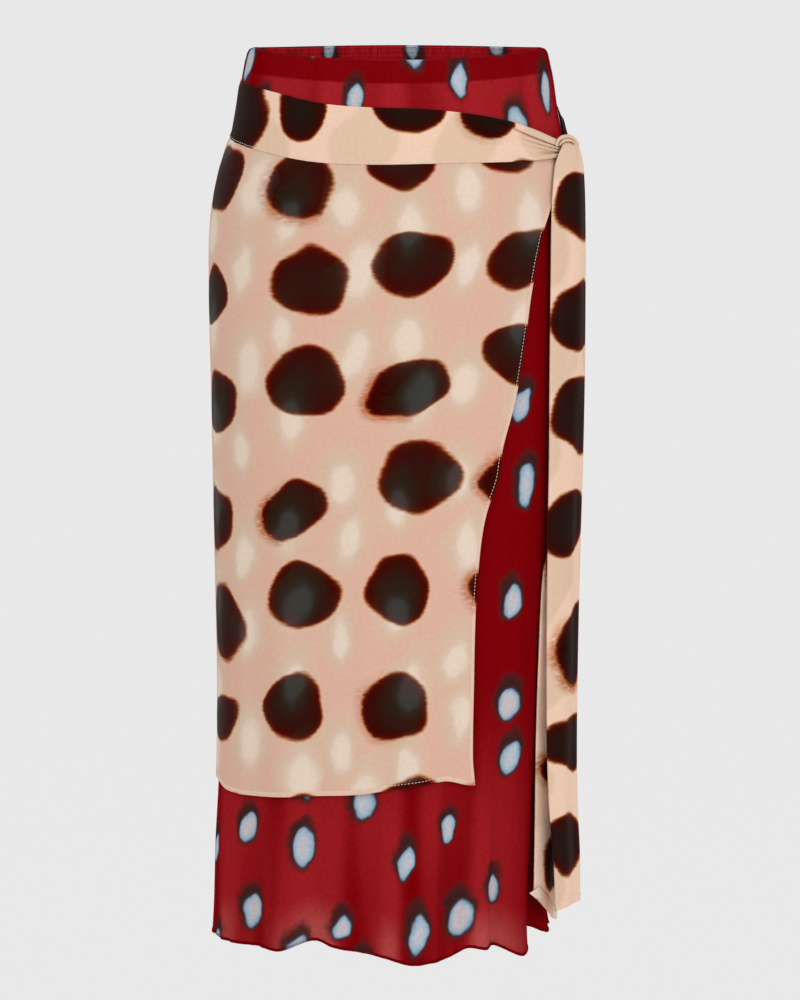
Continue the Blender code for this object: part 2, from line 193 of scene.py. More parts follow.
# %% [markdown]
# ## The form the cloth lies on
#
# A worn skirt has no flat face that could be extruded. It could be sculpted, but then no size in
# it would mean anything. Here it is worked out, as a pattern cutter would: rings round a general
# figure, each a rounded oval, joined by smooth curves. A place on the body is a pair: `turn`, the
# angle round it from the centre front in degrees, growing towards the wearer's left, and `drop`,
# how far below the waist it lies in millimetres. Every layer is the one beneath it moved out. The
# sizes are those of the CAD model, and the sheets here are many times finer.

# %% Reading the tables
MM = 0.001


def read(rows, at, column):
    """A column's values between a table's rows, on a smooth curve through them."""
    keys = np.array([row[0] for row in rows], float)
    values = np.array([getattr(row, column) for row in rows], float)
    after = np.minimum(np.arange(len(keys)) + 1, len(keys) - 1)
    before = np.maximum(np.arange(len(keys)) - 1, 0)
    slopes = (values[after] - values[before]) / (keys[after] - keys[before])
    at = np.clip(at, keys[0], keys[-1])
    i = np.clip(np.searchsorted(keys, at, side="right") - 1, 0, len(keys) - 2)
    span = keys[i + 1] - keys[i]
    share = (at - keys[i]) / span
    square = share**2
    cube = share**3
    return (
        (2 * cube - 3 * square + 1) * values[i]
        + (cube - 2 * square + share) * span * slopes[i]
        + (3 * square - 2 * cube) * values[i + 1]
        + (cube - square) * span * slopes[i + 1]
    )


def read_round(rows, turn, column):
    """The same for a table that goes once round the body, from seam to the same seam."""
    first, second = rows[:2]
    before = rows[-2]._replace(turn=rows[-2].turn - 360)
    after = second._replace(turn=second.turn + 360)
    return read((before, *rows, after), (turn - first.turn) % 360 + first.turn, column)


def fade(at, start, full):
    """0 before start and 1 past full, easing between them."""
    share = np.clip((at - start) / (full - start), 0.0, 1.0)
    return share * share * (3 - 2 * share)


def hump(far):
    """1 where far is 0, easing to 0 where it is 1 and beyond."""
    return (1 + np.cos(np.pi * np.clip(far, 0, 1))) / 2


print("a quarter of the way: a fade is", fade(0.25, 0, 1), "and a hump", round(hump(0.25), 3))

# %% The body form
RIGHT_SEAM = -90.0
LEFT_SEAM = 90.0
ROUNDING = 2.15
RIM_DIP = 15.9
RIM_DIP_SWEEP = 1.5
RIM_RISE = 4.8
RIM_SIDE_DIP = 4.0
RIM_SIDE_TURN = 17.0
RIM_ROUND_DEPTH = 4.5
RIM_ROUND_WIDTH = 2.2
FORM = table(
    "drop right left front back",
    (-12, 139.5, 139.5, 96, 100), (0, 142.5, 142.5, 98, 102), (30, 148.5, 148.5, 101, 106),
    (55, 152, 152, 103.5, 110), (84, 157.2, 157.4, 107, 115), (100, 161.4, 161.6, 109.5, 118),
    (119, 167.2, 167.2, 112.5, 121.5), (148, 173.6, 173.4, 116, 126.5),
    (174, 176.6, 176.4, 118, 130), (208, 177.6, 177.4, 119, 132), (260, 177.2, 176.6, 119, 131),
    (311, 176, 174.6, 118.5, 128), (390, 174.4, 170.8, 118, 124), (492, 172.4, 165.2, 117, 120.5),
    (607, 170.2, 158.4, 116, 118), (696, 170.4, 152.4, 115.5, 117), (758, 172.6, 147.6, 115.5, 117),
    (815, 173.4, 143.6, 115.8, 117.6), (850, 174.8, 144, 116, 118), (870, 175.2, 144.4, 116, 118),
)


def ring(turn, drop, out=0.0):
    """Points at these turns and drops, moved out square to the form's ring there."""
    side = np.sin(np.radians(turn))
    ahead = np.cos(np.radians(turn))
    width = np.where(side > 0, read(FORM, drop, "left"), read(FORM, drop, "right"))
    depth = np.where(ahead > 0, read(FORM, drop, "front"), read(FORM, drop, "back"))
    reach = (np.abs(side) ** ROUNDING + np.abs(ahead) ** ROUNDING) ** (-1 / ROUNDING)
    across = np.copysign(np.abs(reach * side) ** (ROUNDING - 1) / width, side)
    along = np.copysign(np.abs(reach * ahead) ** (ROUNDING - 1) / depth, -ahead)
    steep = np.hypot(across, along)
    x = width * reach * side + out * across / steep
    y = -depth * reach * ahead + out * along / steep
    return np.stack(np.broadcast_arrays(x, y, -drop), axis=-1)


def rim_drop(turn):
    """How far the waist rim lies below the sides. Each side seam draws it down a little more."""
    ahead = np.cos(np.radians(turn))
    from_seam = np.degrees(np.arcsin(np.clip(np.abs(ahead), 0, 1)))
    seam_dip = RIM_SIDE_DIP * (1 - fade(from_seam, 0, RIM_SIDE_TURN))
    dip = RIM_DIP * np.abs(ahead) ** RIM_DIP_SWEEP
    return np.where(ahead > 0, dip, -RIM_RISE * ahead**2) + seam_dip


def rim_rounding(from_rim):
    """How far the waist's faces draw in towards each other where they turn over the rim."""
    share = np.clip(1 - from_rim / RIM_ROUND_DEPTH, 0, 1)
    return RIM_ROUND_WIDTH * (1 - np.sqrt(1 - share * share))


print("waist", 2 * FORM[1].left, "mm wide, hips", 2 * max(level.left for level in FORM), "mm")

# %% [markdown]
# ## The underskirt's folds
#
# A bias-cut hem hangs in flutes: crests and hollows that are full at the hem and die out upwards.
# The CAD model has the large ones. Between them real chiffon has shallow drags, uneven in length
# and depth, and its narrow rolled hem puckers where the machine pulled it. A cloth simulation
# would give folds too, but not where they are wanted, so each drag is placed one by one in a table
# and the puckers are a few unequal waves close to the edge.

# %% Flutes, drags and puckers
FLUTES_FROM = 520.0
FLUTES_FULL = 852.0
FLUTE_SWEEP = 1.6
# Crests and hollows round the hem: how low it hangs there, and how far it stands out.
HEM = table(
    "turn drop out",
    (-90, 848, 3), (-73, 850, 3), (-61, 853, 1), (-48, 854, -4), (-38, 856, 4), (-27, 845, -4),
    (-19, 851, 3), (-8, 857, -2), (4, 866, 6), (12, 865, 4), (20, 861, -6), (27, 852, -2),
    (34, 854, 4), (39, 851, -2), (51, 862, 9), (64, 839, -13), (77, 847, 3), (90, 840, 1),
    (100, 845, 4), (112, 846, -4), (124, 854, 5), (138, 848, -3), (149, 856, 4), (161, 847, -5),
    (174, 855, 5), (187, 850, -3), (198, 857, 4), (211, 847, -5), (223, 853, 4), (236, 848, -3),
    (248, 855, 4), (260, 847, -3), (270, 848, 3),
)
# Soft drags: where each starts and ends, how far it leans over that length, its half width in
# degrees, and how far it stands out, or in if less than 0.
DRAG_SWEEP = 1.5
UNDERSKIRT_DRAGS = table(
    "turn top bottom lean half_width height",
    (-80, 660, 1010, 3, 5, -1.6), (-66, 700, 980, -4, 4, 1.4), (-55, 640, 1000, 5, 4.5, -1.8),
    (-44, 690, 960, -3, 3.5, 1.6), (-33, 720, 1000, 4, 4, -1.5), (-15, 650, 1040, 3, 4, -2.2),
    (-4, 700, 960, -2, 4.5, 1.3), (9, 690, 1000, 3, 3.5, -1.2), (17, 600, 1050, 2, 4, -2.4),
    (29, 520, 1000, -2, 4, 1.8), (37, 480, 1040, 2, 3.6, -2.2), (46, 300, 900, -3, 4.4, 1.6),
    (56, 430, 1010, 3, 4.2, -2), (65, 560, 856, -1, 11, 8.5), (76, 560, 1000, -3, 5, 1.2),
    (84, 560, 980, 2, 5, -1.6), (89, 690, 862, 0, 27, -9), (96, 300, 940, 2, 6, 1.8),
    (117, 640, 1020, -4, 5, -2), (131, 690, 990, 3, 4.5, 1.6), (144, 650, 1030, -3, 5, -1.8),
    (168, 700, 1000, 4, 4.5, -1.9), (181, 660, 980, -2, 5, 1.5), (204, 690, 1040, 3, 4, -1.7),
    (217, 640, 1000, -4, 5, -1.6), (242, 700, 1010, 3, 4.5, 1.7), (254, 660, 990, -2, 4.5, -1.8),
)
PUCKERS = table(
    "waves start height",
    (47, 0.7, 0.45), (71, 2.9, 0.40), (113, 4.4, 0.25),
)
PUCKERS_FROM = 24.0


def drags(rows, turn, drop):
    """How far a table's drags stand out at these places."""
    height = np.zeros(np.broadcast(turn, drop).shape)
    for drag in rows:
        share = (drop - drag.top) / (drag.bottom - drag.top)
        line = drag.turn + drag.lean * share
        far = np.abs((turn - line + 180) % 360 - 180) / drag.half_width
        along = np.sin(np.pi * np.clip(share, 0, 1)) ** DRAG_SWEEP
        height = height + drag.height * along * hump(far)
    return height


def underskirt(turn, drop, out=0.0):
    """Points on the underskirt's outer face, or that far out from it."""
    flare = fade(drop, FLUTES_FROM, FLUTES_FULL) ** FLUTE_SWEEP
    folds = read_round(HEM, turn, "out") * flare + drags(UNDERSKIRT_DRAGS, turn, drop)
    from_hem = read_round(HEM, turn, "drop") - drop
    near_hem = fade(-from_hem, -PUCKERS_FROM, 0)
    puckers = sum(p.height * np.sin(np.radians(turn) * p.waves + p.start) for p in PUCKERS)
    return ring(turn, drop, folds + puckers * near_hem + out)


print(len(HEM) - 1, "crests and hollows,", len(UNDERSKIRT_DRAGS), "drags")

# %% [markdown]
# ## From points to cloth
#
# Each piece of cloth is a rule that takes two shares, across and down, and gives a point. The
# rule also gives two sets of coordinates for the print. `Print` is in metres along the cloth, so
# that a spot stays as large as it was printed and slides with no fold. `Edges` holds how far a
# point lies from the cloth's upper and lower edges, for the darker doubled cloth of a casing or a
# hem. A sheet is a grid through such points, and Solidify gives it its wall, inwards.

# %% A cloth and its coordinates
# Where a turned angle becomes a length of cloth: the way round the hips.
HIP_DROP = 300.0
HIP_TURNS = np.linspace(-120, 480, 1201)
hip_steps = np.linalg.norm(np.diff(ring(HIP_TURNS, HIP_DROP), axis=0), axis=-1)
HIP_WAYS = np.concatenate(([0.0], np.cumsum(hip_steps)))
HIP_WAYS -= np.interp(0.0, HIP_TURNS, HIP_WAYS)
Cloth = namedtuple("Cloth", "points print edges")


def way_round(turn):
    """How far round the hips a turn lies from the centre front, in millimetres."""
    return np.interp(turn, HIP_TURNS, HIP_WAYS)


def print_place(turn, drop, slide=(0.0, 0.0)):
    """Print coordinates in metres for cloth that wraps the body."""
    along = way_round(turn) * MM + slide[0]
    return np.stack(np.broadcast_arrays(along, drop * MM + slide[1]), axis=-1)


def edge_place(from_top, from_bottom):
    """Distances from the upper and lower edges, in metres."""
    return np.stack(np.broadcast_arrays(from_top * MM, from_bottom * MM), axis=-1)


def add_layers(mesh, corners, cloth):
    """Gives a mesh its two sets of coordinates, by the cloth's point at each face corner."""
    for name, values in (("Print", cloth.print), ("Edges", cloth.edges)):
        layer = mesh.uv_layers.new(name=name)
        layer.data.foreach_set("uv", values.reshape(-1, 2)[corners].astype(np.float32).ravel())


def unit(vectors):
    """These vectors, each made 1 long."""
    return vectors / np.linalg.norm(vectors, axis=-1, keepdims=True)


print("round the hips", round(float(way_round(360.0))), "mm")

# %% Sheets of cloth
CUT_ACROSS = 60
CUT_DOWN = 90
RULES = {}


def grid_faces(rows, columns, closed=False):
    """The four corners of each face of a grid. A closed one joins its last row to its first."""
    starts = np.arange(rows if closed else rows - 1)
    r, c = np.meshgrid(starts, np.arange(columns - 1), indexing="ij")
    below = (r + 1) % rows
    corners = (r * columns + c, below * columns + c, below * columns + c + 1, r * columns + c + 1)
    return np.stack(corners, axis=-1).reshape(-1, 4)


def add_mesh(name, points, faces, material):
    """A smooth mesh object of these points, in millimetres."""
    mesh = bpy.data.meshes.new(name)
    mesh.from_pydata((points.reshape(-1, 3) * MM).tolist(), [], faces)
    mesh.materials.append(material)
    mesh.shade_smooth()
    piece = bpy.data.objects.new(name, mesh)
    bpy.context.scene.collection.objects.link(piece)
    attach(piece, "root")
    return piece


def add_grid(name, cloth, material, closed=False):
    """A cloth's points as a grid of faces, with the cloth's coordinates."""
    faces = grid_faces(*cloth.points.shape[:2], closed)
    piece = add_mesh(name, cloth.points, faces.tolist(), material)
    add_layers(piece.data, faces.ravel(), cloth)
    return piece


def add_sheet(name, rule, across, down, wall, material, slot):
    """A sheet of cloth from its rule: a grid of shares, given a wall."""
    piece = add_grid(name, rule(*np.meshgrid(across, down)), material)
    solid = piece.modifiers.new("wall", "SOLIDIFY")
    solid.thickness = wall * MM
    solid.offset = -1.0
    solid.use_even_offset = False
    RULES[name] = rule
    return piece


def declare(name, node):
    """Hides the CAD node that a sheet stands for, and prints the size that the sheet was cut to, as
    a grid over it measures, and its area."""
    shares = np.meshgrid(np.linspace(0, 1, CUT_ACROSS), np.linspace(0, 1, CUT_DOWN))
    points = RULES[name](*shares).points * MM
    rows = np.linalg.norm(np.diff(points, axis=1), axis=-1).sum(axis=1)
    columns = np.linalg.norm(np.diff(points, axis=0), axis=-1).sum(axis=0)
    both = np.cross(points[1:, 1:] - points[:-1, :-1], points[1:, :-1] - points[:-1, 1:])
    flat = (float(rows.max()), float(columns.max()))
    area = float(min(np.linalg.norm(both, axis=-1).sum() / 2, flat[0] * flat[1]))
    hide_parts(node)
    print(name, "cut", [round(size, 3) for size in flat], "m,", round(area, 4), "square metres")


# %% [markdown]
# ## The two prints
#
# Both prints were painted wet into wet, so no edge in them is sharp. They could be painted as
# images, but a rule can be placed on any length of cloth at its real size. A Voronoi texture
# gives one middle to each cell of a jittered lattice. The way from that middle, turned and
# divided by radii of the cell's own, is 1 long at a spot's edge, and a colour ramp over it paints
# the spot from its middle outwards. A slow noise bends the spots' shapes, and a fine one bleeds
# their edges.
#
# The spots on peach are about 70 mm across and 115 mm apart. The ovals on red are about 22 mm by
# 38 mm, each in a soft dark halo that slid up and to one side while the dye was wet.

# %% Scattered middles
Print = namedtuple("Print", "pitch brick jitter bend bend_scale turn turn_range radii sizes")
MIDDLE = (0.5, 0.5, 0.5)


def scattered(tree, place, rule):
    """The nearest middle of a print's jittered lattice: the way from it, in metres, in its own
    turned axes, how many times its size it has to shrink, and three random numbers of its own."""
    across, down = rule.pitch
    slow = add_node(tree, "TexNoise", place, rule.bend_scale, 1.0, noise_dimensions="2D")
    centred = add_node(tree, "VectorMath", slow.outputs["Color"], MIDDLE, operation="SUBTRACT")
    bend = (rule.bend, rule.bend, 0.0)
    bent = add_node(tree, "VectorMath", centred, bend, place, operation="MULTIPLY_ADD")
    # Each column of cells starts a share of a cell lower than the last, like bricks on end.
    cell_axes = ((1 / across, 0.0, 0.0), (rule.brick / across, 1 / down, 0.0))
    lattice = add_node(
        tree,
        "CombineXYZ",
        *(add_node(tree, "VectorMath", bent, axis, operation="DOT_PRODUCT") for axis in cell_axes),
    )
    cells = add_node(
        tree,
        "TexVoronoi",
        inputs={"Vector": lattice, "Scale": 1.0, "Randomness": rule.jitter},
        voronoi_dimensions="2D",
    )
    away = add_node(tree, "VectorMath", lattice, cells.outputs["Position"], operation="SUBTRACT")
    cloth_axes = ((across, 0.0, 0.0), (-rule.brick * down, down, 0.0))
    offset = add_node(
        tree,
        "CombineXYZ",
        *(add_node(tree, "VectorMath", away, axis, operation="DOT_PRODUCT") for axis in cloth_axes),
    )
    own = add_node(tree, "SeparateColor", cells.outputs["Color"]).outputs
    turns = (rule.turn - rule.turn_range, rule.turn + rule.turn_range)
    angle = add_node(tree, "MapRange", own[2], 0.0, 1.0, *turns)
    turned = add_node(tree, "VectorRotate", offset, inputs={"Angle": angle}, rotation_type="Z_AXIS")
    size = add_node(tree, "MapRange", own[0], 0.0, 1.0, *(1 / size for size in rule.sizes))
    return turned, size, own


def painted(tree, share, stops):
    """One printed figure's colours, from its middle outwards."""
    ramp = add_node(tree, "ValToRGB", share)
    elements = ramp.color_ramp.elements
    while len(elements) > 1:
        elements.remove(elements[-1])
    for i, (position, colour) in enumerate(stops):
        stop = elements[0] if i == 0 else elements.new(position)
        stop.position = position
        stop.color = linear(colour)
    return ramp


print("the rule of a print:", ", ".join(Print._fields))

# %% Brown spots on peach
SPOTS = Print((0.104, 0.101), 0.12, 0.24, 0.026, 15.0, 0.30, 0.55, (0.0400, 0.0330), (0.86, 1.15))
SPOT_FLATNESS = (0.86, 1.22)
PEACH = "#EAC7B0"
WASH = "#CC8A58"
BEIGE_SHADE = "#E6EAE0"
FIBRES_PER_METRE = (95.0, 330.0, 1.0)
BLEED = 0.06
# Spots whose random number lies past these are smeared on one side of their middle: dye bleeds
# further there, and a streaky wash creeps out to the first of the two shares of a spot's size.
SMEARED_SPOTS = (0.60, 0.84)
SMEARED_SIDE = (0.2, -0.8)
SMEARED_BLEED = 0.11
WASHED = (1.27, 0.96)
STREAKS = (0.1, 0.65)
# How far the inner layer's spots lie from the outer one's, in metres, and the shares of a spot's
# size between which they fade in, up to the last of the four values.
INNER_SLIDE = (0.047, 0.058, 0.0)
INNER_SEEN = (1.04, 0.84, 0.0, 0.62)
SPOT_STOPS = (
    (0.0, "#21150F"),
    (0.58, "#26100A"),
    (0.78, "#330A04"),
    (0.87, "#4A0D04"),
    (0.905, "#6E2A0F"),
    (0.935, "#A5673D"),
    (0.965, "#D2A280"),
    (0.995, PEACH),
)


def spot_share(tree, place):
    """How far out from a spot's middle a place is, 1 at its edge, with the way across it and the
    spot's random numbers."""
    offset, size, own = scattered(tree, place, SPOTS)
    # Some are round, some longer: one more random number, from the digits after the first.
    digits = add_node(tree, "Math", own[0], 7.0, operation="MULTIPLY")
    longer = add_node(tree, "Math", digits, operation="FRACT")
    flat = add_node(tree, "MapRange", longer, 0.0, 1.0, *SPOT_FLATNESS)
    shrink = (1 / SPOTS.radii[0], 1 / SPOTS.radii[1], 0.0)
    scaled = add_node(tree, "VectorMath", offset, shrink, operation="MULTIPLY")
    squeeze = add_node(tree, "CombineXYZ", 1.0, flat, 1.0)
    squeezed = add_node(tree, "VectorMath", scaled, squeeze, operation="MULTIPLY")
    far = add_node(tree, "VectorMath", squeezed, operation="LENGTH")
    side = add_node(tree, "SeparateXYZ", squeezed)
    return add_node(tree, "Math", far, size, operation="MULTIPLY"), side, own


def spot_print(tree, place):
    """The colour of the peach cloth with its soft-edged brown spots."""
    share, side, own = spot_share(tree, place)
    # Fibres of dye bleed a little all round, and further on one side of a few spots.
    fibres = add_node(tree, "Mapping", place, inputs={"Scale": FIBRES_PER_METRE})
    fine = add_node(tree, "TexNoise", fibres, 1.0, 1.5, 0.5, noise_dimensions="2D")
    few = add_node(tree, "MapRange", own[1], *SMEARED_SPOTS, **SMOOTH)
    one_side = add_node(tree, "MapRange", side, *SMEARED_SIDE, **SMOOTH)
    smeared = add_node(tree, "Math", few, one_side, operation="MULTIPLY")
    reach = add_node(tree, "Math", smeared, SMEARED_BLEED, BLEED, operation="MULTIPLY_ADD")
    fringe = add_node(tree, "Math", fine, 0.5, operation="SUBTRACT")
    bled = add_node(tree, "Math", fringe, reach, share, operation="MULTIPLY_ADD")
    spots = painted(tree, bled, SPOT_STOPS)
    # There a thin rust-coloured wash has crept out over the ground.
    near = add_node(tree, "MapRange", share, *WASHED, **SMOOTH)
    washed = add_node(tree, "Math", smeared, near, operation="MULTIPLY")
    strands = add_node(tree, "MapRange", fine, *STREAKS, **SMOOTH)
    streaked = add_node(tree, "Math", washed, strands, operation="MULTIPLY")
    return add_node(tree, "Mix", streaked, spots, linear(WASH), **RGBA, blend_type="MULTIPLY")


def inner_layer(tree, place, colour):
    """A colour of doubled cloth: the spots of the layer beneath show as faint beige patches."""
    beneath = add_node(tree, "Mapping", place, inputs={"Location": INNER_SLIDE})
    share = spot_share(tree, beneath)[0]
    seen = add_node(tree, "MapRange", share, *INNER_SEEN, **SMOOTH)
    return add_node(tree, "Mix", seen, colour, linear(BEIGE_SHADE), **RGBA, blend_type="MULTIPLY")


print("spots", [round(pitch / MM) for pitch in SPOTS.pitch], "mm apart")

# %% How the ovals look
OVALS = Print((0.0555, 0.0850), 0.5, 0.42, 0.010, 38.0, -0.16, 0.18, (0.0105, 0.0190), (0.72, 1.14))
OVAL_NARROWNESS = (0.86, 1.30)
OVAL_FIBRES_PER_METRE = 160.0
OVAL_FRINGE = 0.34
# Powers of the ways across and along an oval, and of their sum, which pinch it towards its ends.
OVAL_PINCH = (1.6, 2.0, 0.55)
HALO_SHIFT = (0.0026, 0.0056, 0.0)
HALO_SHARES = (0.72, 0.76)

# How the ovals look bare, and through the wrap panel: paler, greener and softer.
Look = namedtuple("Look", "halo core warm stops soft grown")
BARE_STOPS = (
    (0.0, "#BABBC1"),
    (0.42, "#B3B9C2"),
    (0.66, "#A3B2C0"),
    (0.84, "#86A2B7"),
    (0.95, "#607C90"),
    (1.0, "#3A4349"),
)
BARE = Look("#33211F", 0.9, "#C2B6B7", BARE_STOPS, 0.0, 1.0)
GHOST_STOPS = ((0.0, "#C2E3DC"), (0.7, "#B8D7D2"), (1.0, "#98A49A"))
THROUGH_PEACH = Look("#666E4E", 0.4, "#DCDACB", GHOST_STOPS, 0.26, 1.45)

print("ovals", [round(pitch / MM) for pitch in OVALS.pitch], "mm apart")

# %% Pale ovals on red


def oval_print(tree, place, ground, look):
    """The colour of the red cloth: pale ovals with steel-blue rims and dark halos on a ground."""
    grown = OVALS._replace(sizes=[size * look.grown for size in OVALS.sizes])
    offset, size, own = scattered(tree, place, grown)
    fine = add_node(tree, "TexNoise", place, OVAL_FIBRES_PER_METRE, 2.0, noise_dimensions="2D")
    centred = add_node(tree, "Math", fine, 0.5, operation="SUBTRACT")
    fringe = add_node(tree, "Math", centred, OVAL_FRINGE, operation="MULTIPLY")
    squeezes = (1 / narrow for narrow in OVAL_NARROWNESS)
    narrow = add_node(tree, "MapRange", own[1], 0.0, 1.0, *squeezes)
    squeeze = add_node(tree, "CombineXYZ", narrow, 1.0, 1.0)
    offset = add_node(tree, "VectorMath", offset, squeeze, operation="MULTIPLY")

    # An oval, pinched towards its ends.
    shrink = (1 / OVALS.radii[0], 1 / OVALS.radii[1], 0.0)
    scaled = add_node(tree, "VectorMath", offset, shrink, operation="MULTIPLY")
    sized = add_node(tree, "VectorMath", scaled, size, operation="SCALE")
    ends = add_node(
        tree, "SeparateXYZ", add_node(tree, "VectorMath", sized, operation="ABSOLUTE")
    ).outputs
    across = add_node(tree, "Math", ends[0], OVAL_PINCH[0], operation="POWER")
    along = add_node(tree, "Math", ends[1], OVAL_PINCH[1], operation="POWER")
    pinched = add_node(tree, "Math", across, along, operation="ADD")
    oval = add_node(tree, "Math", pinched, OVAL_PINCH[2], operation="POWER")
    share = add_node(tree, "Math", fringe, 0.4, oval, operation="MULTIPLY_ADD")

    # The halo: a larger oval that slid up and aside.
    slid = add_node(tree, "VectorMath", offset, HALO_SHIFT, operation="ADD")
    widen = (HALO_SHARES[0] / OVALS.radii[0], HALO_SHARES[1] / OVALS.radii[1], 0.0)
    widened = add_node(tree, "VectorMath", slid, widen, operation="MULTIPLY")
    halo_far = add_node(tree, "VectorMath", widened, operation="LENGTH")
    halo_sized = add_node(tree, "Math", halo_far, size, operation="MULTIPLY")
    halo_share = add_node(tree, "Math", halo_sized, fringe, operation="ADD")
    blur = 1.6 * look.soft
    halo, rim = (
        add_node(tree, "MapRange", far, *levels, **SMOOTH)
        for far, *levels in (
            (halo_share, 1.3 + blur, 0.7, 0.0, 0.92),
            (share, 1.34 + blur, 1.0, 0.0, 0.8),
        )
    )
    dark = add_node(tree, "Math", halo, rim, operation="MAXIMUM")
    shaded = add_node(tree, "Mix", dark, ground, linear(look.halo), **RGBA)

    inside = painted(tree, share, look.stops)
    some = add_node(tree, "MapRange", own[1], 0.2, 0.9, 0.0, look.core, **SMOOTH)
    core = add_node(tree, "MapRange", share, 0.9, 0.3, **SMOOTH)
    warmth = add_node(tree, "Math", some, core, operation="MULTIPLY")
    warm = add_node(tree, "Mix", warmth, inside, linear(look.warm), **RGBA)
    edge = (1.16 + look.soft, 0.82 - look.soft)
    within = add_node(tree, "MapRange", share, *edge, **SMOOTH)
    return add_node(tree, "Mix", within, shaded, warm, **RGBA)


print("halos slid", [round(step / MM, 1) for step in HALO_SHIFT[:2]], "mm")

# %% [markdown]
# ## The finishes
#
# Chiffon is a plain weave of hard-twisted threads. The twist scatters light, so it is matt with a
# faint sheen at the edges, and a little rough. Its threads are 0.15 mm apart, far too fine to
# show, so the weave is drawn as a grain of about 1 mm that breaks the light up as softly as the
# real one.
#
# Chiffon is also see-through. Clear shaders would show the plain inside of the form, so the wrap
# panel is painted as the eye sees it: a quarter of the red print shows through the peach one.
# Both are read from the same coordinates, so each ghost lies over the oval that casts it.

# %% The surface of chiffon
CHIFFON_ROUGHNESS = 0.8
SHEEN_ROUGHNESS = 0.4
GRAIN_PER_METRE = 800.0
CREPE_PER_METRE = 240.0
GRAIN_RANGE = (0.7, 1.3)
RELIEF = 0.5


def new_cloth(name):
    """An empty material for cloth, its node tree and the cloth's print coordinates."""
    made, tree = new_material(name)
    return made, tree, add_node(tree, "UVMap", uv_map="Print")


def chiffon(tree, place, colour, sheen, speckle, depth):
    """The matt, faintly rough surface of hard-twisted cloth in a colour. speckle is how far single
    threads are lighter or darker, and depth how far they stand out, in metres."""
    grain, crepe = (
        add_node(tree, "TexNoise", place, scale, 2.0, noise_dimensions="2D")
        for scale in (GRAIN_PER_METRE, CREPE_PER_METRE)
    )
    both = add_node(tree, "Math", grain, crepe, operation="ADD")
    light = add_node(tree, "MapRange", both, *GRAIN_RANGE, 1 - speckle, 1 + speckle)
    relief = {"Height": both, "Strength": RELIEF, "Distance": depth}
    end_material(
        tree,
        {
            "Base Color": add_node(tree, "VectorMath", colour, light, operation="SCALE"),
            "Normal": add_node(tree, "Bump", inputs=relief),
            "Roughness": CHIFFON_ROUGHNESS,
            "Specular IOR Level": 0.0,
            "Sheen Weight": sheen,
            "Sheen Roughness": SHEEN_ROUGHNESS,
        },
    )


print("grain of", 1 / (GRAIN_PER_METRE * MM), "mm")

# %% The red ground
RED_DEEP = "#760006"
# Painted light: the red where it is lit, and where light comes through its one layer above the hem.
RED_PAINTED_LIT = "#A02026"
RED_PAINTED_HEM_LIGHT = "#B85854"
# A thin line of painted shade along the top of the rim.
RED_RIM_PAINTED_SHADE = "#3A0205"
# The scale of the slow noise that paints the folds' light and shade.
FOLD_SHADE_PER_METRE = (20.0, 1.5, 1.0)
# Metres round the hips, from the centre front, where the tails' shade starts and ends.
TAIL_SHADE = ((0.17, 0.10), (0.27, 0.33))


def red_ground_painted_light_and_shade(tree, place, edges):
    """Red chiffon before its ovals, with painted light and shade: deep red painted as shade in the
    folds, under the wrap and beside the tails, lighter between, and lightest just above the hem, as
    painted light where only one layer stands before the light."""
    hanging = add_node(tree, "Mapping", place, inputs={"Scale": FOLD_SHADE_PER_METRE})
    folds = add_node(tree, "TexNoise", hanging, 1.0, 1.5, 0.45, noise_dimensions="2D")
    from_rim, from_hem = add_node(tree, "SeparateXYZ", edges).outputs[:2]
    round_hips = add_node(tree, "SeparateXYZ", place)
    # Beside the tails the cloth hangs in their shade and in the skirt's own.
    clear = (add_node(tree, "MapRange", round_hips, *ends, **SMOOTH) for ends in TAIL_SHADE)
    open_side = add_node(tree, "Math", *clear, operation="MAXIMUM")
    # Painted light and shade: above the wrap the cloth is bright, under it dark, and bright again
    # below it.
    below, above, painted_fold_light, hem, painted_hem_fold_light, doubled, rim_painted_shade = (
        add_node(tree, "MapRange", value, *levels, **SMOOTH)
        for value, *levels in (
            (from_rim, 0.58, 0.74, 0.0, 0.7),
            (from_rim, 0.16, 0.10, 0.0, 0.85),
            (folds, 0.22, 0.58),
            (from_hem, 0.048, 0.006, 0.0, 0.6),
            (folds, 0.36, 0.66),
            (from_rim, 0.0238, 0.0208, 0.0, 0.88),
            (from_rim, 0.0014, 0.0004, 0.0, 0.65),
        )
    )
    below_wrap = add_node(tree, "Math", below, open_side, operation="MULTIPLY")
    shown = add_node(tree, "Math", above, below_wrap, operation="MAXIMUM")
    least = add_node(tree, "Math", shown, 0.08, operation="ADD")
    light = add_node(tree, "Math", painted_fold_light, least, operation="MULTIPLY")
    ground = add_node(tree, "Mix", light, linear(RED_DEEP), linear(RED_PAINTED_LIT), **RGBA)
    # Painted light just above the hem, in the open folds and clear of the tails' shade.
    near_hem = add_node(tree, "Math", hem, painted_hem_fold_light, operation="MULTIPLY")
    near_hem = add_node(tree, "Math", near_hem, open_side, operation="MULTIPLY")
    hem_painted_light = add_node(tree, "Mix", near_hem, ground, linear(RED_PAINTED_HEM_LIGHT), **RGBA)
    # The doubled cloth of the casing, and a thin line of painted shade along the top of the rim,
    # where it folds over the elastic.
    cased = add_node(tree, "Mix", doubled, hem_painted_light, linear(RED_DEEP), **RGBA)
    return add_node(tree, "Mix", rim_painted_shade, cased, linear(RED_RIM_PAINTED_SHADE), **RGBA)


print("the tails' shade lies", TAIL_SHADE[0][1], "to", TAIL_SHADE[1][1], "m round the hips")

# %% Red chiffon
RED_SHEEN = 0.0

# Red polyester chiffon, printed: matt, deep red, with pale ovals.
red_chiffon, tree, place = new_cloth("red_printed_chiffon")
ground = red_ground_painted_light_and_shade(tree, place, add_node(tree, "UVMap", uv_map="Edges"))
bare = oval_print(tree, place, ground, BARE)
chiffon(tree, place, bare, RED_SHEEN, speckle=0.10, depth=0.0005)

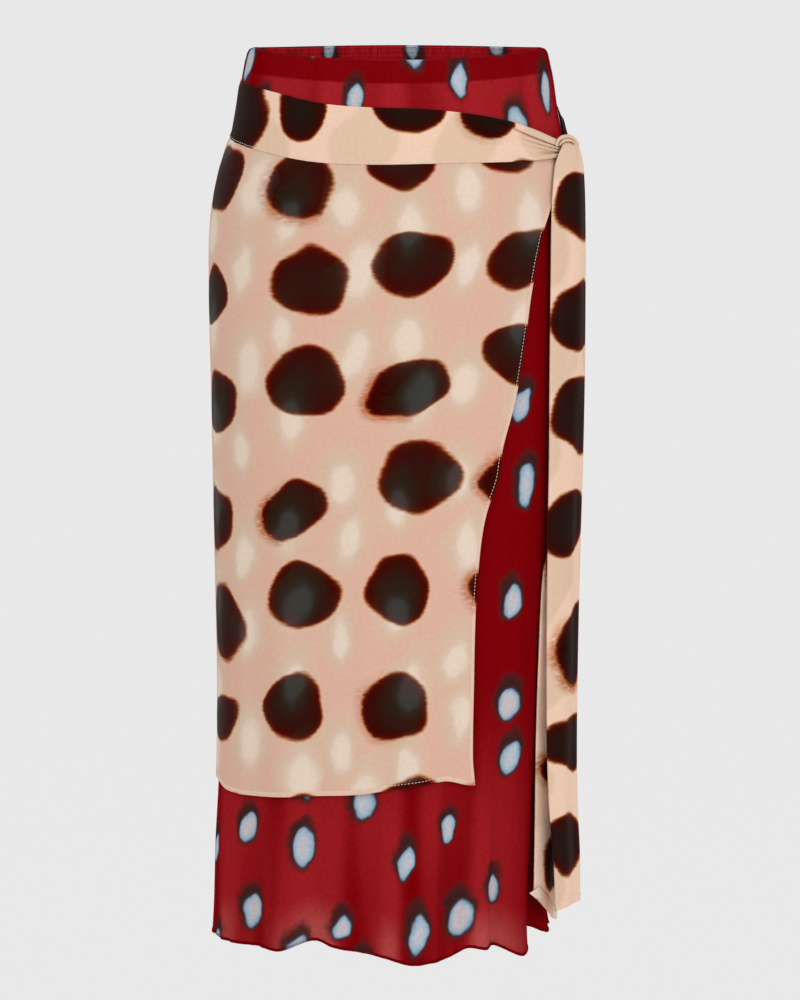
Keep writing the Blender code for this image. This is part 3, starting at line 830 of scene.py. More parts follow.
# The same cloth rolled twice round its own edge: three layers, so a darker red.
rolled_red, tree, place = new_cloth("red_rolled_hem")
rolled = oval_print(tree, place, linear("#78000A"), BARE)
rolled = add_node(tree, "Mix", 0.5, rolled, linear("#640008"), **RGBA)
chiffon(tree, place, rolled, RED_SHEEN, speckle=0.08, depth=0.0003)

# The same cloth shirred on elastic thread: fine ribs, a darker and duller red, with the ribs' light
# and shade painted as lighter and darker stripes.
RIBS_PER_METRE = (420.0, 60.0, 1.0)
shirred_red, tree, place = new_cloth("red_shirred_chiffon")
# Painted light and shade of the ribs: stretched noise between a darker and a lighter red.
ribs = add_node(tree, "Mapping", place, inputs={"Scale": RIBS_PER_METRE})
ribs = add_node(tree, "TexNoise", ribs, 1.0, 2.0, noise_dimensions="2D")
rib_shaded_red = add_node(tree, "Mix", ribs, linear("#8E060E"), linear("#CE2630"), **RGBA)
# Over the rim the cloth is pulled smooth and turns from the light.
from_rim = add_node(tree, "SeparateXYZ", add_node(tree, "UVMap", uv_map="Edges"))
turning = add_node(tree, "MapRange", from_rim, 0.0018, 0.0005, 0.0, 0.6, **SMOOTH)
rib_shaded_red = add_node(tree, "Mix", turning, rib_shaded_red, linear("#4A0207"), **RGBA)
rib_shaded_red = oval_print(tree, place, rib_shaded_red, BARE)
chiffon(tree, place, rib_shaded_red, RED_SHEEN, speckle=0.12, depth=0.0006)
print("red:", red_chiffon.name, rolled_red.name, shirred_red.name)

# %% Peach chiffon
PEACH_SHEEN = 0.1
PEACH_SPECKLE = 0.035

# Peach polyester chiffon, printed. It is doubled in the sash, so no red shows through.
peach_chiffon, tree, place = new_cloth("peach_printed_chiffon")
doubled = inner_layer(tree, place, spot_print(tree, place))
chiffon(tree, place, doubled, PEACH_SHEEN, PEACH_SPECKLE, depth=0.0005)

# The same cloth in one layer over the red skirt: pinker, with the red print's ghosts. Dark dye lets
# less through than the ground does.
SEEN_THROUGH = (0.05, 0.255)
sheer_peach, tree, place = new_cloth("peach_sheer_chiffon")
over = spot_print(tree, place)
under = oval_print(tree, place, linear("#980812"), THROUGH_PEACH)
brightness = add_node(tree, "RGBToBW", over)
seen = add_node(tree, "MapRange", brightness, 0.03, 0.4, *SEEN_THROUGH)
both = add_node(tree, "Mix", seen, over, under, **RGBA)
chiffon(tree, place, both, PEACH_SHEEN, PEACH_SPECKLE, depth=0.0005)

# The same cloth turned over in a hem: three layers let about half as much through.
TURNED_THROUGH = 0.13
turned_peach, tree, place = new_cloth("peach_turned_chiffon")
over = spot_print(tree, place)
both = add_node(tree, "Mix", TURNED_THROUGH, over, linear("#86030D"), **RGBA)
chiffon(tree, place, both, PEACH_SHEEN, PEACH_SPECKLE, depth=0.0003)
print("peach:", peach_chiffon.name, sheer_peach.name, turned_peach.name)

# %% Thread
TWISTS_PER_METRE = 1500.0
TWIST_SHADE = 0.7


def new_thread(name, colour):
    """Polyester sewing thread: smooth and faintly shiny, in one colour with a twist along it."""
    made, tree = new_material(name)
    where = add_node(tree, "TexCoord").outputs["Object"]
    twist = add_node(tree, "TexNoise", where, TWISTS_PER_METRE, 1.0)
    shaded = tuple(TWIST_SHADE * part for part in linear(colour)[:3]) + (1.0,)
    twisted = add_node(tree, "Mix", twist, linear(colour), shaded, **RGBA)
    end_material(tree, {"Base Color": twisted, "Roughness": 0.5, "Specular IOR Level": 0.2})
    return made


peach_thread = new_thread("peach_thread", "#F2E4D6")
red_thread = new_thread("red_thread", "#A83A3C")
print("thread:", peach_thread.name, red_thread.name)

# %% [markdown]
# ## The underskirt
#
# Two red panels, joined at the sides, hang from the waist to a fluted hem. Each is one sheet,
# fine enough for its drags and puckers. The cloth is drawn 0.7 mm thick, a little more than real
# chiffon, so that both of its faces show where the hem turns round.

# %% Both red panels
CHIFFON_WALL = 0.7
SEAM_TURN = 0.02
# The skirt's two halves, and the turns of the seams at their ends.
HALVES = (("front", RIGHT_SEAM, LEFT_SEAM), ("back", LEFT_SEAM, RIGHT_SEAM + 360))
# Rows lie closest where the rim turns over, and close towards the hem.
RIM_ROWS = np.linspace(0, 0.006, 9)[:-1]
HANGING_ROWS = 1 - 0.994 * (1 - np.linspace(0, 1, 121)) ** 1.25
UNDERSKIRT_DOWN = np.concatenate((RIM_ROWS, HANGING_ROWS))
UNDERSKIRT_ACROSS = np.linspace(0, 1, 181)


def underskirt_rule(first, last):
    """The rule of one red panel between two seams."""

    def rule(a, b):
        turn = first + SEAM_TURN + a * (last - first - 2 * SEAM_TURN)
        top = rim_drop(turn)
        bottom = read_round(HEM, turn, "drop")
        drop = top + b * (bottom - top)
        points = underskirt(turn, drop, -rim_rounding(drop - top))
        return Cloth(points, print_place(turn, drop), edge_place(drop - top, bottom - drop))

    return rule


for half, first, last in HALVES:
    grid = (UNDERSKIRT_ACROSS, UNDERSKIRT_DOWN, CHIFFON_WALL)
    add_sheet("red_" + half, underskirt_rule(first, last), *grid, red_chiffon, "underskirt_cloth")
    declare("red_" + half, "underskirt_" + half)

# %% [markdown]
# ## The waist casing
#
# The waist is turned in and sewn down over rows of elastic thread, which gather it into fine
# upright ribs. They show on the inside of the back. A bump could fake them, but the rim is seen
# against the light, so they are real ridges, 2.8 mm apart and 0.8 mm high, pinched at each row of
# elastic.

# %% The shirred casing
CASING_DEPTH = 22.0
CASING_WALL = 1.4
CASING_INSIDE = 3.4
RIB_PITCH = 2.8
RIB_HEIGHT = 0.8
RIB_UNEVEN = 1.3
RIB_UNEVEN_OVER = 9.0
ELASTIC_ROWS = 5
CASING_GRID = (np.linspace(0, 1, 881), np.linspace(0, 1, 21), CASING_WALL)


def casing_rule(first, last):
    """The casing's inner face, from one seam to the other. It is drawn from the left seam to the
    right, so that it faces inwards."""

    def rule(a, b):
        turn = last - SEAM_TURN - a * (last - first - 2 * SEAM_TURN)
        top = rim_drop(turn)
        drop = top + b * CASING_DEPTH
        along = way_round(turn)
        uneven = RIB_UNEVEN * np.sin(along / RIB_UNEVEN_OVER)
        rib = np.sin(2 * np.pi * along / RIB_PITCH + uneven)
        pinch = np.abs(np.sin(np.pi * b * ELASTIC_ROWS)) ** 0.5
        inside = -CASING_INSIDE + RIB_HEIGHT * (rib - 1) / 2 * pinch + rim_rounding(drop - top)
        edges = edge_place(drop - top, (1 - b) * CASING_DEPTH)
        return Cloth(underskirt(turn, drop, inside), print_place(turn, 2 * top - drop), edges)

    return rule


for half, first, last in HALVES:
    name = "casing_inside_" + half
    add_sheet(name, casing_rule(first, last), *CASING_GRID, shirred_red, "casing_cloth")
    declare(name, "casing_" + half)

# %% [markdown]
# ## The sash
#
# The sash is doubled cloth, 53 mm wide, pulled tight round the hips and gathered into the knot.
# Near the knot its upper edge rolls over on itself and the rest falls into folds. A fold could be
# cut out as cloth of its own, but it only stands 2 mm high, so it is a ridge in the sheet: soft
# above, steep below, where it shades itself.

# %% The sash's edges, folds and slack
# How low its two edges run, and how far the gathered cloth lifts near the knot.
SASH = table(
    "turn top bottom lift",
    (77.6, 91, 98.5, 5.4), (80.2, 88.2, 101, 4.6), (86, 77.5, 102, 1.6), (97, 58.2, 97, 1.2),
    (110, 45, 90, 0.8), (130, 38, 85.5, 0), (160, 33, 83.5, 0), (200, 31, 83, 0),
    (240, 29.5, 83, 0), (270, 31.5, 85.5, 0), (294, 38, 93.5, 0), (312, 45.5, 102, 0),
    (333, 56.5, 111.5, 0), (351, 60.5, 114, 0), (370, 62, 113.2, 0), (397, 70.5, 111.2, 0.4),
    (412, 80, 109, 1.6), (422, 87.5, 106.6, 3.2), (427.8, 91, 104.8, 5),
)
# The upper edge rolled over: how wide the roll is, as a share of the sash.
EDGE_ROLL = table(
    "turn width",
    (386, 0.01), (392, 0.04), (400, 0.12), (408, 0.21), (416, 0.29), (424, 0.35), (428, 0.36),
)
ROLL_FROM = 386.0
ROLL_FULL = 402.0
ROLL_WIDE = 0.2
ROLL_HEIGHT = 3.0
ROLL_TUCK = 1.9
ROLL_TUCK_WIDTH = 0.09
ROLL_DROOP = 1.5
# Folds that run to the knot: where each starts and ends round the body and across the sash. Each
# rises over the share `above` its line and falls over the share `below` it.
SASH_FOLDS = table(
    "start end place_start place_end above below height",
    (394, 428, 0.26, 0.56, 0.12, 0.035, 2.2), (399, 428, 0.47, 0.70, 0.12, 0.040, 1.9),
    (399, 428, 0.92, 0.80, 0.035, 0.16, 2.6), (111, 80, 0.22, 0.30, 0.10, 0.040, 1.8),
    (106, 80, 0.52, 0.55, 0.10, 0.040, 1.6), (103, 80, 0.82, 0.78, 0.10, 0.060, 1.4),
)
FOLD_DROOP = 0.9
STEEP = 0.012
OVERHANG = 0.014
# Slack left in the band away from the knot.
SASH_SLACK = table(
    "turn place half_turn half_place height",
    (281, 0.35, 9, 0.30, 0.5), (300, 0.62, 12, 0.25, -0.5), (322, 0.30, 14, 0.22, 0.45),
    (345, 0.70, 16, 0.22, 0.5), (362, 0.25, 14, 0.18, -0.45), (381, 0.60, 13, 0.14, 0.8),
    (419, 0.77, 12, 0.07, -2.4), (393, 0.42, 12, 0.10, -0.9), (402, 0.80, 10, 0.10, -0.8),
    (150, 0.40, 16, 0.24, 0.6), (185, 0.66, 18, 0.22, -0.5), (222, 0.36, 15, 0.24, 0.5),
    (104, 0.55, 8, 0.12, -0.9), (98, 0.30, 8, 0.10, 0.9),
)

print(len(SASH_FOLDS), "folds and", len(SASH_SLACK), "slack places")

# %% Folds and slack


def humped(off, above, below):
    """1 where off is 0, easing to 0 at the share above it and the share below it."""
    return hump(np.where(off < 0, -off / above, off / below))


def fold_course(fold, turn):
    """How far along a fold a turn lies, and where across the sash its line runs there."""
    share = np.clip((turn - fold.start) / (fold.end - fold.start), 0, 1)
    return share, fold.place_start + (fold.place_end - fold.place_start) * share


def fold_height(turn, place):
    """How far the sash's folds and its rolled edge stand out."""
    height = np.zeros(place.shape)
    for fold in SASH_FOLDS:
        share, line = fold_course(fold, turn)
        raised = humped(place - line, fold.above, fold.below)
        height = height + fold.height * fade(share, 0, 0.6) * raised
    width = read(EDGE_ROLL, turn, "width")
    section = np.sqrt(1 - np.clip(2 * place / width - 1, -1, 1) ** 4)
    rolled = section * ROLL_HEIGHT * np.minimum(width / ROLL_WIDE, 1)
    tucked = humped(place - width * 1.02, STEEP, ROLL_TUCK_WIDTH) * ROLL_TUCK
    return height + (rolled - tucked) * fade(turn, ROLL_FROM, ROLL_FULL)


def fold_droop(turn, place):
    """How far the rolled edge and the two upper folds hang down over the cloth beneath them."""
    width = read(EDGE_ROLL, turn, "width")
    wide = np.minimum(width / ROLL_WIDE, 1)
    droop = ROLL_DROOP * wide**2 * humped(place - width * 0.96, width * 0.6, OVERHANG)
    for fold in SASH_FOLDS[:2]:
        share, line = fold_course(fold, turn)
        hanging = humped(place - line - STEEP, 0.10, OVERHANG)
        droop = droop + FOLD_DROOP * fade(share, 0.1, 0.6) * hanging
    return droop


def slack_height(turn, place):
    """How far the slack in the band stands out."""
    height = np.zeros(place.shape)
    for slack in SASH_SLACK:
        along = (turn - slack.turn) / slack.half_turn
        across = (place - slack.place) / slack.half_place
        height = height + slack.height * hump(np.hypot(along, across))
    return height


beside_knot = fold_height(np.full(101, 420.0), np.linspace(0, 1, 101))
print("beside the knot the folds stand", round(beside_knot.max(), 1), "mm high")

# %% The sash
SASH_OUT = 2.2
SASH_WALL = 1.2
SASH_EDGE = 1.0
SASH_EDGE_SHARE = 0.14
SASH_WIDTH = 53.0
SASH_SLIDE = (0.085, 0.092)
SEAM_PUCKERS = 0.28
SEAM_PUCKERS_FROM = 0.84
SEAM_STEP = 0.45
SEAM_SHARES = (0.915, 0.93)
# Rows lie closest where the upper edge rolls over, and columns towards the knot.
SASH_DOWN = np.concatenate((np.linspace(0, 0.75, 121)[:-1], np.linspace(0.75, 1, 24)))
TOWARDS_KNOT = 1.3


def sash_rule(first, last):
    """The rule of the sash between two turns."""

    def rule(a, b):
        turn = first + a * (last - first)
        top = read(SASH, turn, "top")
        bottom = read(SASH, turn, "bottom")
        raised = fold_height(turn, b) + slack_height(turn, b) + read(SASH, turn, "lift")
        # The topstitched seam stands a little proud and draws its edge into small uneven puckers.
        ripple = np.sin(turn * 0.9 + 2 * np.sin(turn * 0.21)) + np.sin(turn * 1.7 + 1.0)
        pucker = SEAM_PUCKERS * ripple * fade(b, SEAM_PUCKERS_FROM, 1.0)
        raised = raised + pucker + SEAM_STEP * fade(b, *SEAM_SHARES)
        drop = top + b * (bottom - top) + fold_droop(turn, b)
        edge = SASH_EDGE * (1 - fade(b, 0, SASH_EDGE_SHARE))
        points = underskirt(turn, drop, SASH_OUT + raised - edge)
        from_top, from_bottom = b * SASH_WIDTH, (1 - b) * SASH_WIDTH
        return Cloth(
            points, print_place(turn, from_top, SASH_SLIDE), edge_place(from_top, from_bottom)
        )

    return rule


SASH_PARTS = (
    ("front", RIGHT_SEAM + 360, SASH[-1].turn, 1 - (1 - np.linspace(0, 1, 141)) ** TOWARDS_KNOT),
    ("back", SASH[0].turn, RIGHT_SEAM + 360, np.linspace(0, 1, 161) ** TOWARDS_KNOT),
)
for half, first, last, across in SASH_PARTS:
    name = f"sash_{half}_cloth"
    grid = (across, SASH_DOWN, SASH_WALL)
    add_sheet(name, sash_rule(first, last), *grid, peach_chiffon, "sash_cloth")
    declare(name, "sash_" + half)

# %% [markdown]
# ## The wrap panel
#
# One layer of peach chiffon hangs from the sash, from an edge hidden behind the tails, round the
# back and the front, to a slanted edge that ends in a square corner. Its rule starts a little
# under the sash, as the real one is sewn there. Drop and turn hang on each other along the
# slanted edge, so the rule goes round a few times until both settle.

# %% The wrap panel's edges and drags
# How far it lies out from the underskirt, by how far below the sash.
OVERLAY_LIFT = table(
    "below out",
    (-3, 0.8), (0, 1.9), (7, 3.9), (30, 3.9), (70, 3.3), (160, 2.9), (400, 2.9), (620, 2.6),
)
FREE_EDGE_LIFT = 1.4
FREE_EDGE_TURN = 14.0
FREE_EDGE_FULL = 60.0
# The slanted edge, in millimetres across from the centre front.
WRAP_EDGE = table(
    "drop across",
    (105, 150.5), (119, 149.5), (139, 146), (160, 139.6), (182, 133.2), (236, 122.2), (281, 117.2),
    (335, 108.6), (378, 97.6), (409, 93), (442, 82), (475, 76.4), (535, 71.8), (600, 70),
    (671, 68.8), (697, 70.6),
)
BACK_EDGE_TURN = 101.0
OVERLAY_HEM = table(
    "turn drop out",
    (-90, 697, 0.2), (-76, 701, 0.6), (-66, 707.5, 1.5), (-54, 710.5, 0.4), (-37, 709.5, 2),
    (-23, 707, 0.3), (-11, 705, 1.6), (-2, 700.5, 0.2), (7, 697, 2), (17, 693, 0.4), (26, 697, 2.5),
    (60, 696, 1), (101, 699, 2.5), (120, 697, 0.2), (141, 702, 2.6), (165, 706, 0.4),
    (188, 703, 2.8), (214, 706, 0.4), (238, 702, 2.2), (256, 699, 0.8), (270, 697, 0.2),
)
OVERLAY_FOLDS_FROM = 430.0
OVERLAY_FOLDS_FULL = 700.0
# Drags: from the knot downwards and away, and a few upright ones lower down.
OVERLAY_DRAGS = table(
    "turn top bottom lean half_width height",
    (63, 104, 330, -34, 5, 1.5), (57, 108, 300, -30, 4, -1.1), (48, 120, 420, -16, 6, 1.2),
    (20, 180, 640, -6, 8, 0.9), (-12, 330, 820, 5, 6, 1.2), (-36, 240, 780, -5, 7, 1),
    (-58, 420, 860, 4, 6, 1.3), (-74, 200, 640, 4, 6, 1.1), (112, 120, 520, 5, 7, 1.2),
    (136, 260, 800, -6, 8, 1.3), (163, 160, 620, 6, 9, 1), (190, 350, 860, -5, 7, 1.3),
    (221, 200, 700, 5, 8, 1.1), (250, 300, 840, -4, 7, 1.2),
)
TUCK = 3.0
SETTLING = 5
HALVINGS = 20
KNOT_TURN = 74.0
# The first rows lie close together, where the panel comes out from under the sash.
OVERLAY_DOWN = np.concatenate((np.linspace(0, 0.03, 12)[:-1], np.linspace(0.03, 1, 100)))


def turn_at(across, drop):
    """The turn on the wearer's left front where the form lies this far from the centre front."""
    low = np.zeros(np.broadcast(across, drop).shape)
    high = np.full(low.shape, LEFT_SEAM)
    for _ in range(HALVINGS):
        middle = (low + high) / 2
        short = ring(middle, drop)[..., 0] < across
        low = np.where(short, middle, low)
        high = np.where(short, high, middle)
    return (low + high) / 2


print("slanted edge from", WRAP_EDGE[0].across, "to", WRAP_EDGE[-1].across, "mm across")

# %% The wrap panel


def hanging_drop(turn, b):
    """How low a share of the panel lies at a turn, with the sash's seam and the hem there."""
    seam = read(SASH, np.where(turn < BACK_EDGE_TURN, turn + 360, turn), "bottom")
    hem = read_round(OVERLAY_HEM, turn, "drop")
    return seam - TUCK + b * (hem - seam + TUCK), seam, hem


def overlay_cloth(turn, drop, seam, hem, from_edge):
    """The wrap panel at these places: the underskirt's outer face, moved out."""
    below = drop - seam
    near_edge = 1 - fade(from_edge, 0, FREE_EDGE_TURN)
    free = FREE_EDGE_LIFT * near_edge * fade(below, 0, FREE_EDGE_FULL)
    flare = fade(drop, OVERLAY_FOLDS_FROM, OVERLAY_FOLDS_FULL)
    folds = read_round(OVERLAY_HEM, turn, "out") * flare
    out = read(OVERLAY_LIFT, below, "out") + free + folds + drags(OVERLAY_DRAGS, turn, drop)
    edges = edge_place(below, hem - drop)
    return Cloth(underskirt(turn, drop, out), print_place(turn, drop), edges)


def overlay_front_rule(a, b):
    """The panel's front, from the right side seam to the slanted edge."""
    edge = np.full(a.shape, KNOT_TURN)
    for _ in range(SETTLING):
        turn = RIGHT_SEAM + SEAM_TURN + a * (edge - RIGHT_SEAM - SEAM_TURN)
        drop, seam, hem = hanging_drop(turn, b)
        edge = turn_at(read(WRAP_EDGE, drop, "across"), drop)
    return overlay_cloth(turn, drop, seam, hem, edge - turn)


def overlay_back_rule(a, b):
    """The panel's back, from its free edge behind the tails round to the right side seam."""
    turn = BACK_EDGE_TURN + a * (RIGHT_SEAM + 360 - SEAM_TURN - BACK_EDGE_TURN)
    return overlay_cloth(turn, *hanging_drop(turn, b), turn - BACK_EDGE_TURN)


for half, rule, columns in (("front", overlay_front_rule, 141), ("back", overlay_back_rule, 151)):
    grid = (np.linspace(0, 1, columns), OVERLAY_DOWN, CHIFFON_WALL)
    add_sheet("peach_" + half, rule, *grid, sheer_peach, "overlay_cloth")
    declare("peach_" + half, "overlay_" + half)

# %% [markdown]
# ## The tails
#
# The ends of the sash hang from the knot beside the slanted edge. Each is one sheet through
# sections seen from above: a left edge, a middle line and a right edge at each drop, with a
# parabola through them. The front one comes out from under the knot's fold and hides most of the
# other.

# %% The tails' sections and folds
SEAM_GAP = 0.3
KNOT_DROP = 94.5
KNOT_OUT = 8.6
KNOT_HALF_ALONG = 13.0
KNOT_HALF_OUT = 8.0
KNOT_HALF_UP = 10.0
TAIL_WALL = 1.3
TAIL_WIDTH = 56.0
TAIL_COLUMNS = 31
# Where on the printed cloth the front and the back tail were cut, in metres.
TAIL_SLIDES = ((0.291, 0.021), (0.0714, 0.0242))
TAIL_DOWN = np.concatenate((np.linspace(0, 0.12, 40)[:-1], np.linspace(0.12, 1, 120)))
TAIL_FRONT = table(
    "drop left_x left_y middle_x middle_y right_x right_y",
    (92, 157, -53, 165.3, -47.5, 171, -36), (98, 154.8, -57.5, 165.8, -51, 173, -36.6),
    (105, 151.6, -61.5, 166.3, -54, 175, -37), (116, 148.6, -67, 167, -56.5, 176.8, -37.5),
    (140, 146.6, -77, 167.5, -60, 178.2, -38), (174, 145.4, -82.5, 167.5, -61.5, 178.8, -38),
    (208, 145, -83.5, 167.3, -62, 179, -38), (311, 144, -82.5, 166.6, -61.5, 178.4, -37.5),
    (390, 143.6, -81, 166, -60.5, 177, -36.5), (460, 142.6, -80.5, 164.8, -60, 175, -35.5),
    (556, 141.6, -80, 163.2, -59.5, 172.8, -35), (654, 142, -80, 162.6, -59, 171.6, -34.5),
    (720, 144.2, -81, 163, -59, 172.2, -34), (770, 148.6, -82, 165, -59.5, 174.6, -34.5),
    (822, 150.6, -82, 165.8, -59.5, 174.6, -34.5),
)
TAIL_FRONT_END = (820.0, 814.5)
TAIL_BACK = table(
    "drop left_x left_y middle_x middle_y right_x right_y",
    (103.8, 159, -42, 162.6, -34.4, 165.4, -26.5), (116, 156.6, -51, 165.6, -40.5, 170.2, -28.5),
    (140, 151.8, -63.5, 167, -48.5, 174.4, -31), (174, 149, -72.5, 166, -53.5, 176.2, -33),
    (208, 148, -75, 165.2, -55, 176, -33.5), (311, 147, -75.5, 164.4, -55.5, 174.4, -33),
    (390, 146.6, -75.5, 163.4, -55, 172.2, -32), (470, 144.8, -75, 161.4, -54.5, 169.6, -31),
    (500, 138.2, -74.5, 158.4, -54.5, 168.4, -31), (590, 133.8, -73.5, 154.6, -54, 164.6, -30.5),
    (660, 131.8, -73, 152.4, -53.5, 162, -30), (745, 130.8, -73.5, 149.8, -54, 157.4, -29),
    (828, 129.6, -74, 144.8, -55, 151.6, -32),
)
TAIL_BACK_END = (802.0, 831.5)
# Soft lengthwise folds: the place across the tail, where each starts and ends, and its height.
TAIL_FRONT_FURROWS = table(
    "place top bottom half_width height",
    (0.62, 70, 360, 0.28, 2), (0.30, 110, 420, 0.22, -1.4), (0.74, 300, 720, 0.24, -1.8),
    (0.35, 480, 900, 0.24, 1.6), (0.82, 600, 980, 0.18, 2.2),
)
TAIL_BACK_FURROWS = table(
    "place top bottom half_width height",
    (0.30, 480, 860, 0.26, 1.3), (0.66, 560, 960, 0.24, -1.6),
)

print(len(TAIL_FRONT), "sections in the front tail,", len(TAIL_BACK), "in the back one")

# %% The two tails


def knot_axes():
    """The knot's middle, and its unit axes along the sash, outwards and up."""
    middle = ring(KNOT_TURN, KNOT_DROP, KNOT_OUT)
    outwards = unit(ring(KNOT_TURN, KNOT_DROP, KNOT_OUT + 1) - middle)
    up = np.array((0.0, 0.0, 1.0))
    return middle, np.cross(up, outwards), outwards, up


def clear_of_knot(points, wall):
    """The points, moved out of the knot until a wall of this thickness lies on it."""
    middle, *axes = knot_axes()
    from_middle = points - middle
    room = wall + 2 * SEAM_GAP
    halves = (KNOT_HALF_ALONG, KNOT_HALF_OUT, KNOT_HALF_UP)
    shares = [from_middle @ axis / (half + room) for axis, half in zip(axes, halves)]
    inside = np.sqrt(sum(share**2 for share in shares))[..., None]
    return np.where(inside < 1, middle + from_middle / np.maximum(inside, 1e-6), points)


def tail_rule(rows, ends, furrows, wall, slide):
    """The rule of one tail."""

    def rule(a, b):
        end = ends[0] + (ends[1] - ends[0]) * np.sin(np.pi / 2 * a)
        drop = rows[0].drop + b * (end - rows[0].drop)
        left, middle, right = (
            np.stack([read(rows, drop, f"{side}_{axis}") for axis in "xy"])
            for side in ("left", "middle", "right")
        )
        x, y = 2 * (a - 0.5) * (a - 1) * left + 4 * a * (1 - a) * middle + 2 * a * (a - 0.5) * right
        # Folds stand out square to the line from edge to edge.
        run_x, run_y = right - left
        run = np.hypot(run_x, run_y)
        height = np.zeros(a.shape)
        for furrow in furrows:
            share = np.clip((drop - furrow.top) / (furrow.bottom - furrow.top), 0, 1)
            near = hump(np.abs(a - furrow.place) / furrow.half_width)
            height = height + furrow.height * np.sin(np.pi * share) * near
        points = np.stack((x + height * run_y / run, y - height * run_x / run, -drop), axis=-1)
        place = np.stack((a * TAIL_WIDTH * MM + slide[0], drop * MM + slide[1]), axis=-1)
        return Cloth(clear_of_knot(points, wall), place, edge_place(drop, end - drop))

    return rule


tail_back_rule = tail_rule(TAIL_BACK, TAIL_BACK_END, TAIL_BACK_FURROWS, 0.0, TAIL_SLIDES[1])
TAIL_RULES = {
    "front": tail_rule(TAIL_FRONT, TAIL_FRONT_END, TAIL_FRONT_FURROWS, TAIL_WALL, TAIL_SLIDES[0]),
    "back": tail_back_rule,
}
for half, rule in TAIL_RULES.items():
    name = f"tail_{half}_cloth"
    grid = (np.linspace(0, 1, TAIL_COLUMNS), TAIL_DOWN, TAIL_WALL)
    add_sheet(name, rule, *grid, peach_chiffon, "sash_cloth")
    declare(name, "tail_" + half)

# %% The turned corner of the back tail
FLAP_FROM = -0.12
FLAP_SLANT = 0.22
FLAP_LOW = 1.5
FLAP_SAG = 5.5
FLAP_RISE = 16.5
FLAP_TAPER = 0.28
FLAP_OUT = 1.0
FLAP_BULGE = 0.9
FLAP_SLIDE = 0.05
FLAP_WALL = 0.5
FLAP_GRID = (np.linspace(0, 1, 25), np.linspace(0, 1, 9), FLAP_WALL)
STEP = 0.01


def flap_rule(a, b):
    """The corner that has turned back: a strip over the tail's slanted end, past its left edge."""
    across = FLAP_FROM + (1 - FLAP_FROM) * a + FLAP_SLANT * (1 - b) * (1 - a)
    length = TAIL_BACK_END[0] - TAIL_BACK[0].drop
    rise = FLAP_RISE * (1 - b) * (1 - FLAP_TAPER * a)
    down = 1 + (FLAP_LOW + FLAP_SAG * (1 - a) - rise) / length
    near = tail_back_rule(across, down)
    ahead = tail_back_rule(across + STEP, down).points - tail_back_rule(across - STEP, down).points
    below = tail_back_rule(across, down + STEP).points - tail_back_rule(across, down - STEP).points
    bulge = FLAP_OUT + FLAP_BULGE * np.sin(np.pi * b) * (1 - a)
    points = near.points + unit(np.cross(below, ahead)) * bulge[..., None]
    return Cloth(points, near.print + FLAP_SLIDE, near.edges)


add_sheet("tail_flap", flap_rule, *FLAP_GRID, sheer_peach, "sash_cloth")
print("flap", FLAP_RISE, "mm high")

# %% [markdown]
# ## The knot
#
# The knot is the sash passed round itself and pulled tight: a lump with its folds running over
# it, and in front a rolled fold that arches over the top of the front tail. Tying one from a tube
# of cloth would take a long simulation for something 25 mm across, so the lump is a sphere, drawn
# out along the sash and creased, and each rolled fold is a curve with a round section that thins
# out towards its ends.

# %% The lump
KNOT_SEGMENTS = 72
KNOT_RINGS = 48
KNOT_WRAPS = 4
KNOT_WRAP_DEPTH = 0.17
KNOT_WRAP_SWEEP = 0.6


def vertex_places(mesh):
    """A mesh's vertices as rows of three coordinates."""
    places = np.empty(len(mesh.vertices) * 3)
    mesh.vertices.foreach_get("co", places)
    return places.reshape(-1, 3)


middle, along, outwards, up = knot_axes()
bpy.ops.object.select_all(action="DESELECT")
bpy.ops.mesh.primitive_uv_sphere_add(
    segments=KNOT_SEGMENTS, ring_count=KNOT_RINGS, radius=1.0, location=(0, 0, 0)
)
knot = bpy.context.object
knot.name = "knot_cloth"
x, y, z = vertex_places(knot.data).T
# The sphere's poles lie along the sash, and the wraps run round it from one to the other.
wrap = np.cos(KNOT_WRAPS * (np.arctan2(y, x) + z))
crease = (1 - np.sign(wrap) * np.abs(wrap) ** KNOT_WRAP_SWEEP) / 2
size = 1 - KNOT_WRAP_DEPTH * crease * (1 - z * z)
shape = (
    middle
    + (z * size)[:, None] * along * KNOT_HALF_ALONG
    + (x * size)[:, None] * up * KNOT_HALF_UP
    + (y * size)[:, None] * outwards * KNOT_HALF_OUT
)
knot.data.vertices.foreach_set("co", (shape * MM).ravel())
print("lump of", len(shape), "points")

# %% The rolled folds over it
# Each row is a place on a fold and its radius there, in millimetres.
HOOD = table(
    "x y z radius",
    (150.4, -58, -96, 0.9), (150.9, -57.6, -91.4, 1.5), (154, -55.6, -87.6, 1.7),
    (159.4, -51.8, -86.2, 1.8), (164.8, -47.2, -87, 1.9), (169, -42, -90.6, 1.8),
    (171, -38.8, -96, 1.4), (172.6, -37.4, -102, 0.7),
)
INNER_FOLD = table(
    "x y z radius",
    (153.6, -57.2, -95, 0.6), (155.6, -56.2, -91.4, 1.1), (160, -53.4, -89.6, 1.3),
    (165, -49.2, -90.2, 1.2), (168.6, -45, -93.4, 0.8),
)


def add_roll(name, rolls):
    """A rolled fold along a row of places, as a mesh."""
    bpy.ops.object.select_all(action="DESELECT")
    bpy.ops.curve.primitive_nurbs_path_add(location=(0, 0, 0))
    roll = bpy.context.object
    roll.name = name
    curve = roll.data
    curve.splines.clear()
    line = curve.splines.new("NURBS")
    line.points.add(len(rolls) - 1)
    for point, place in zip(line.points, rolls):
        point.co = (place.x * MM, place.y * MM, place.z * MM, 1.0)
        point.radius = place.radius
    line.order_u = 4
    line.use_endpoint_u = True
    line.resolution_u = 10
    curve.bevel_depth = MM
    curve.bevel_resolution = 5
    curve.use_fill_caps = True
    bpy.ops.object.convert(target="MESH")
    return bpy.context.object


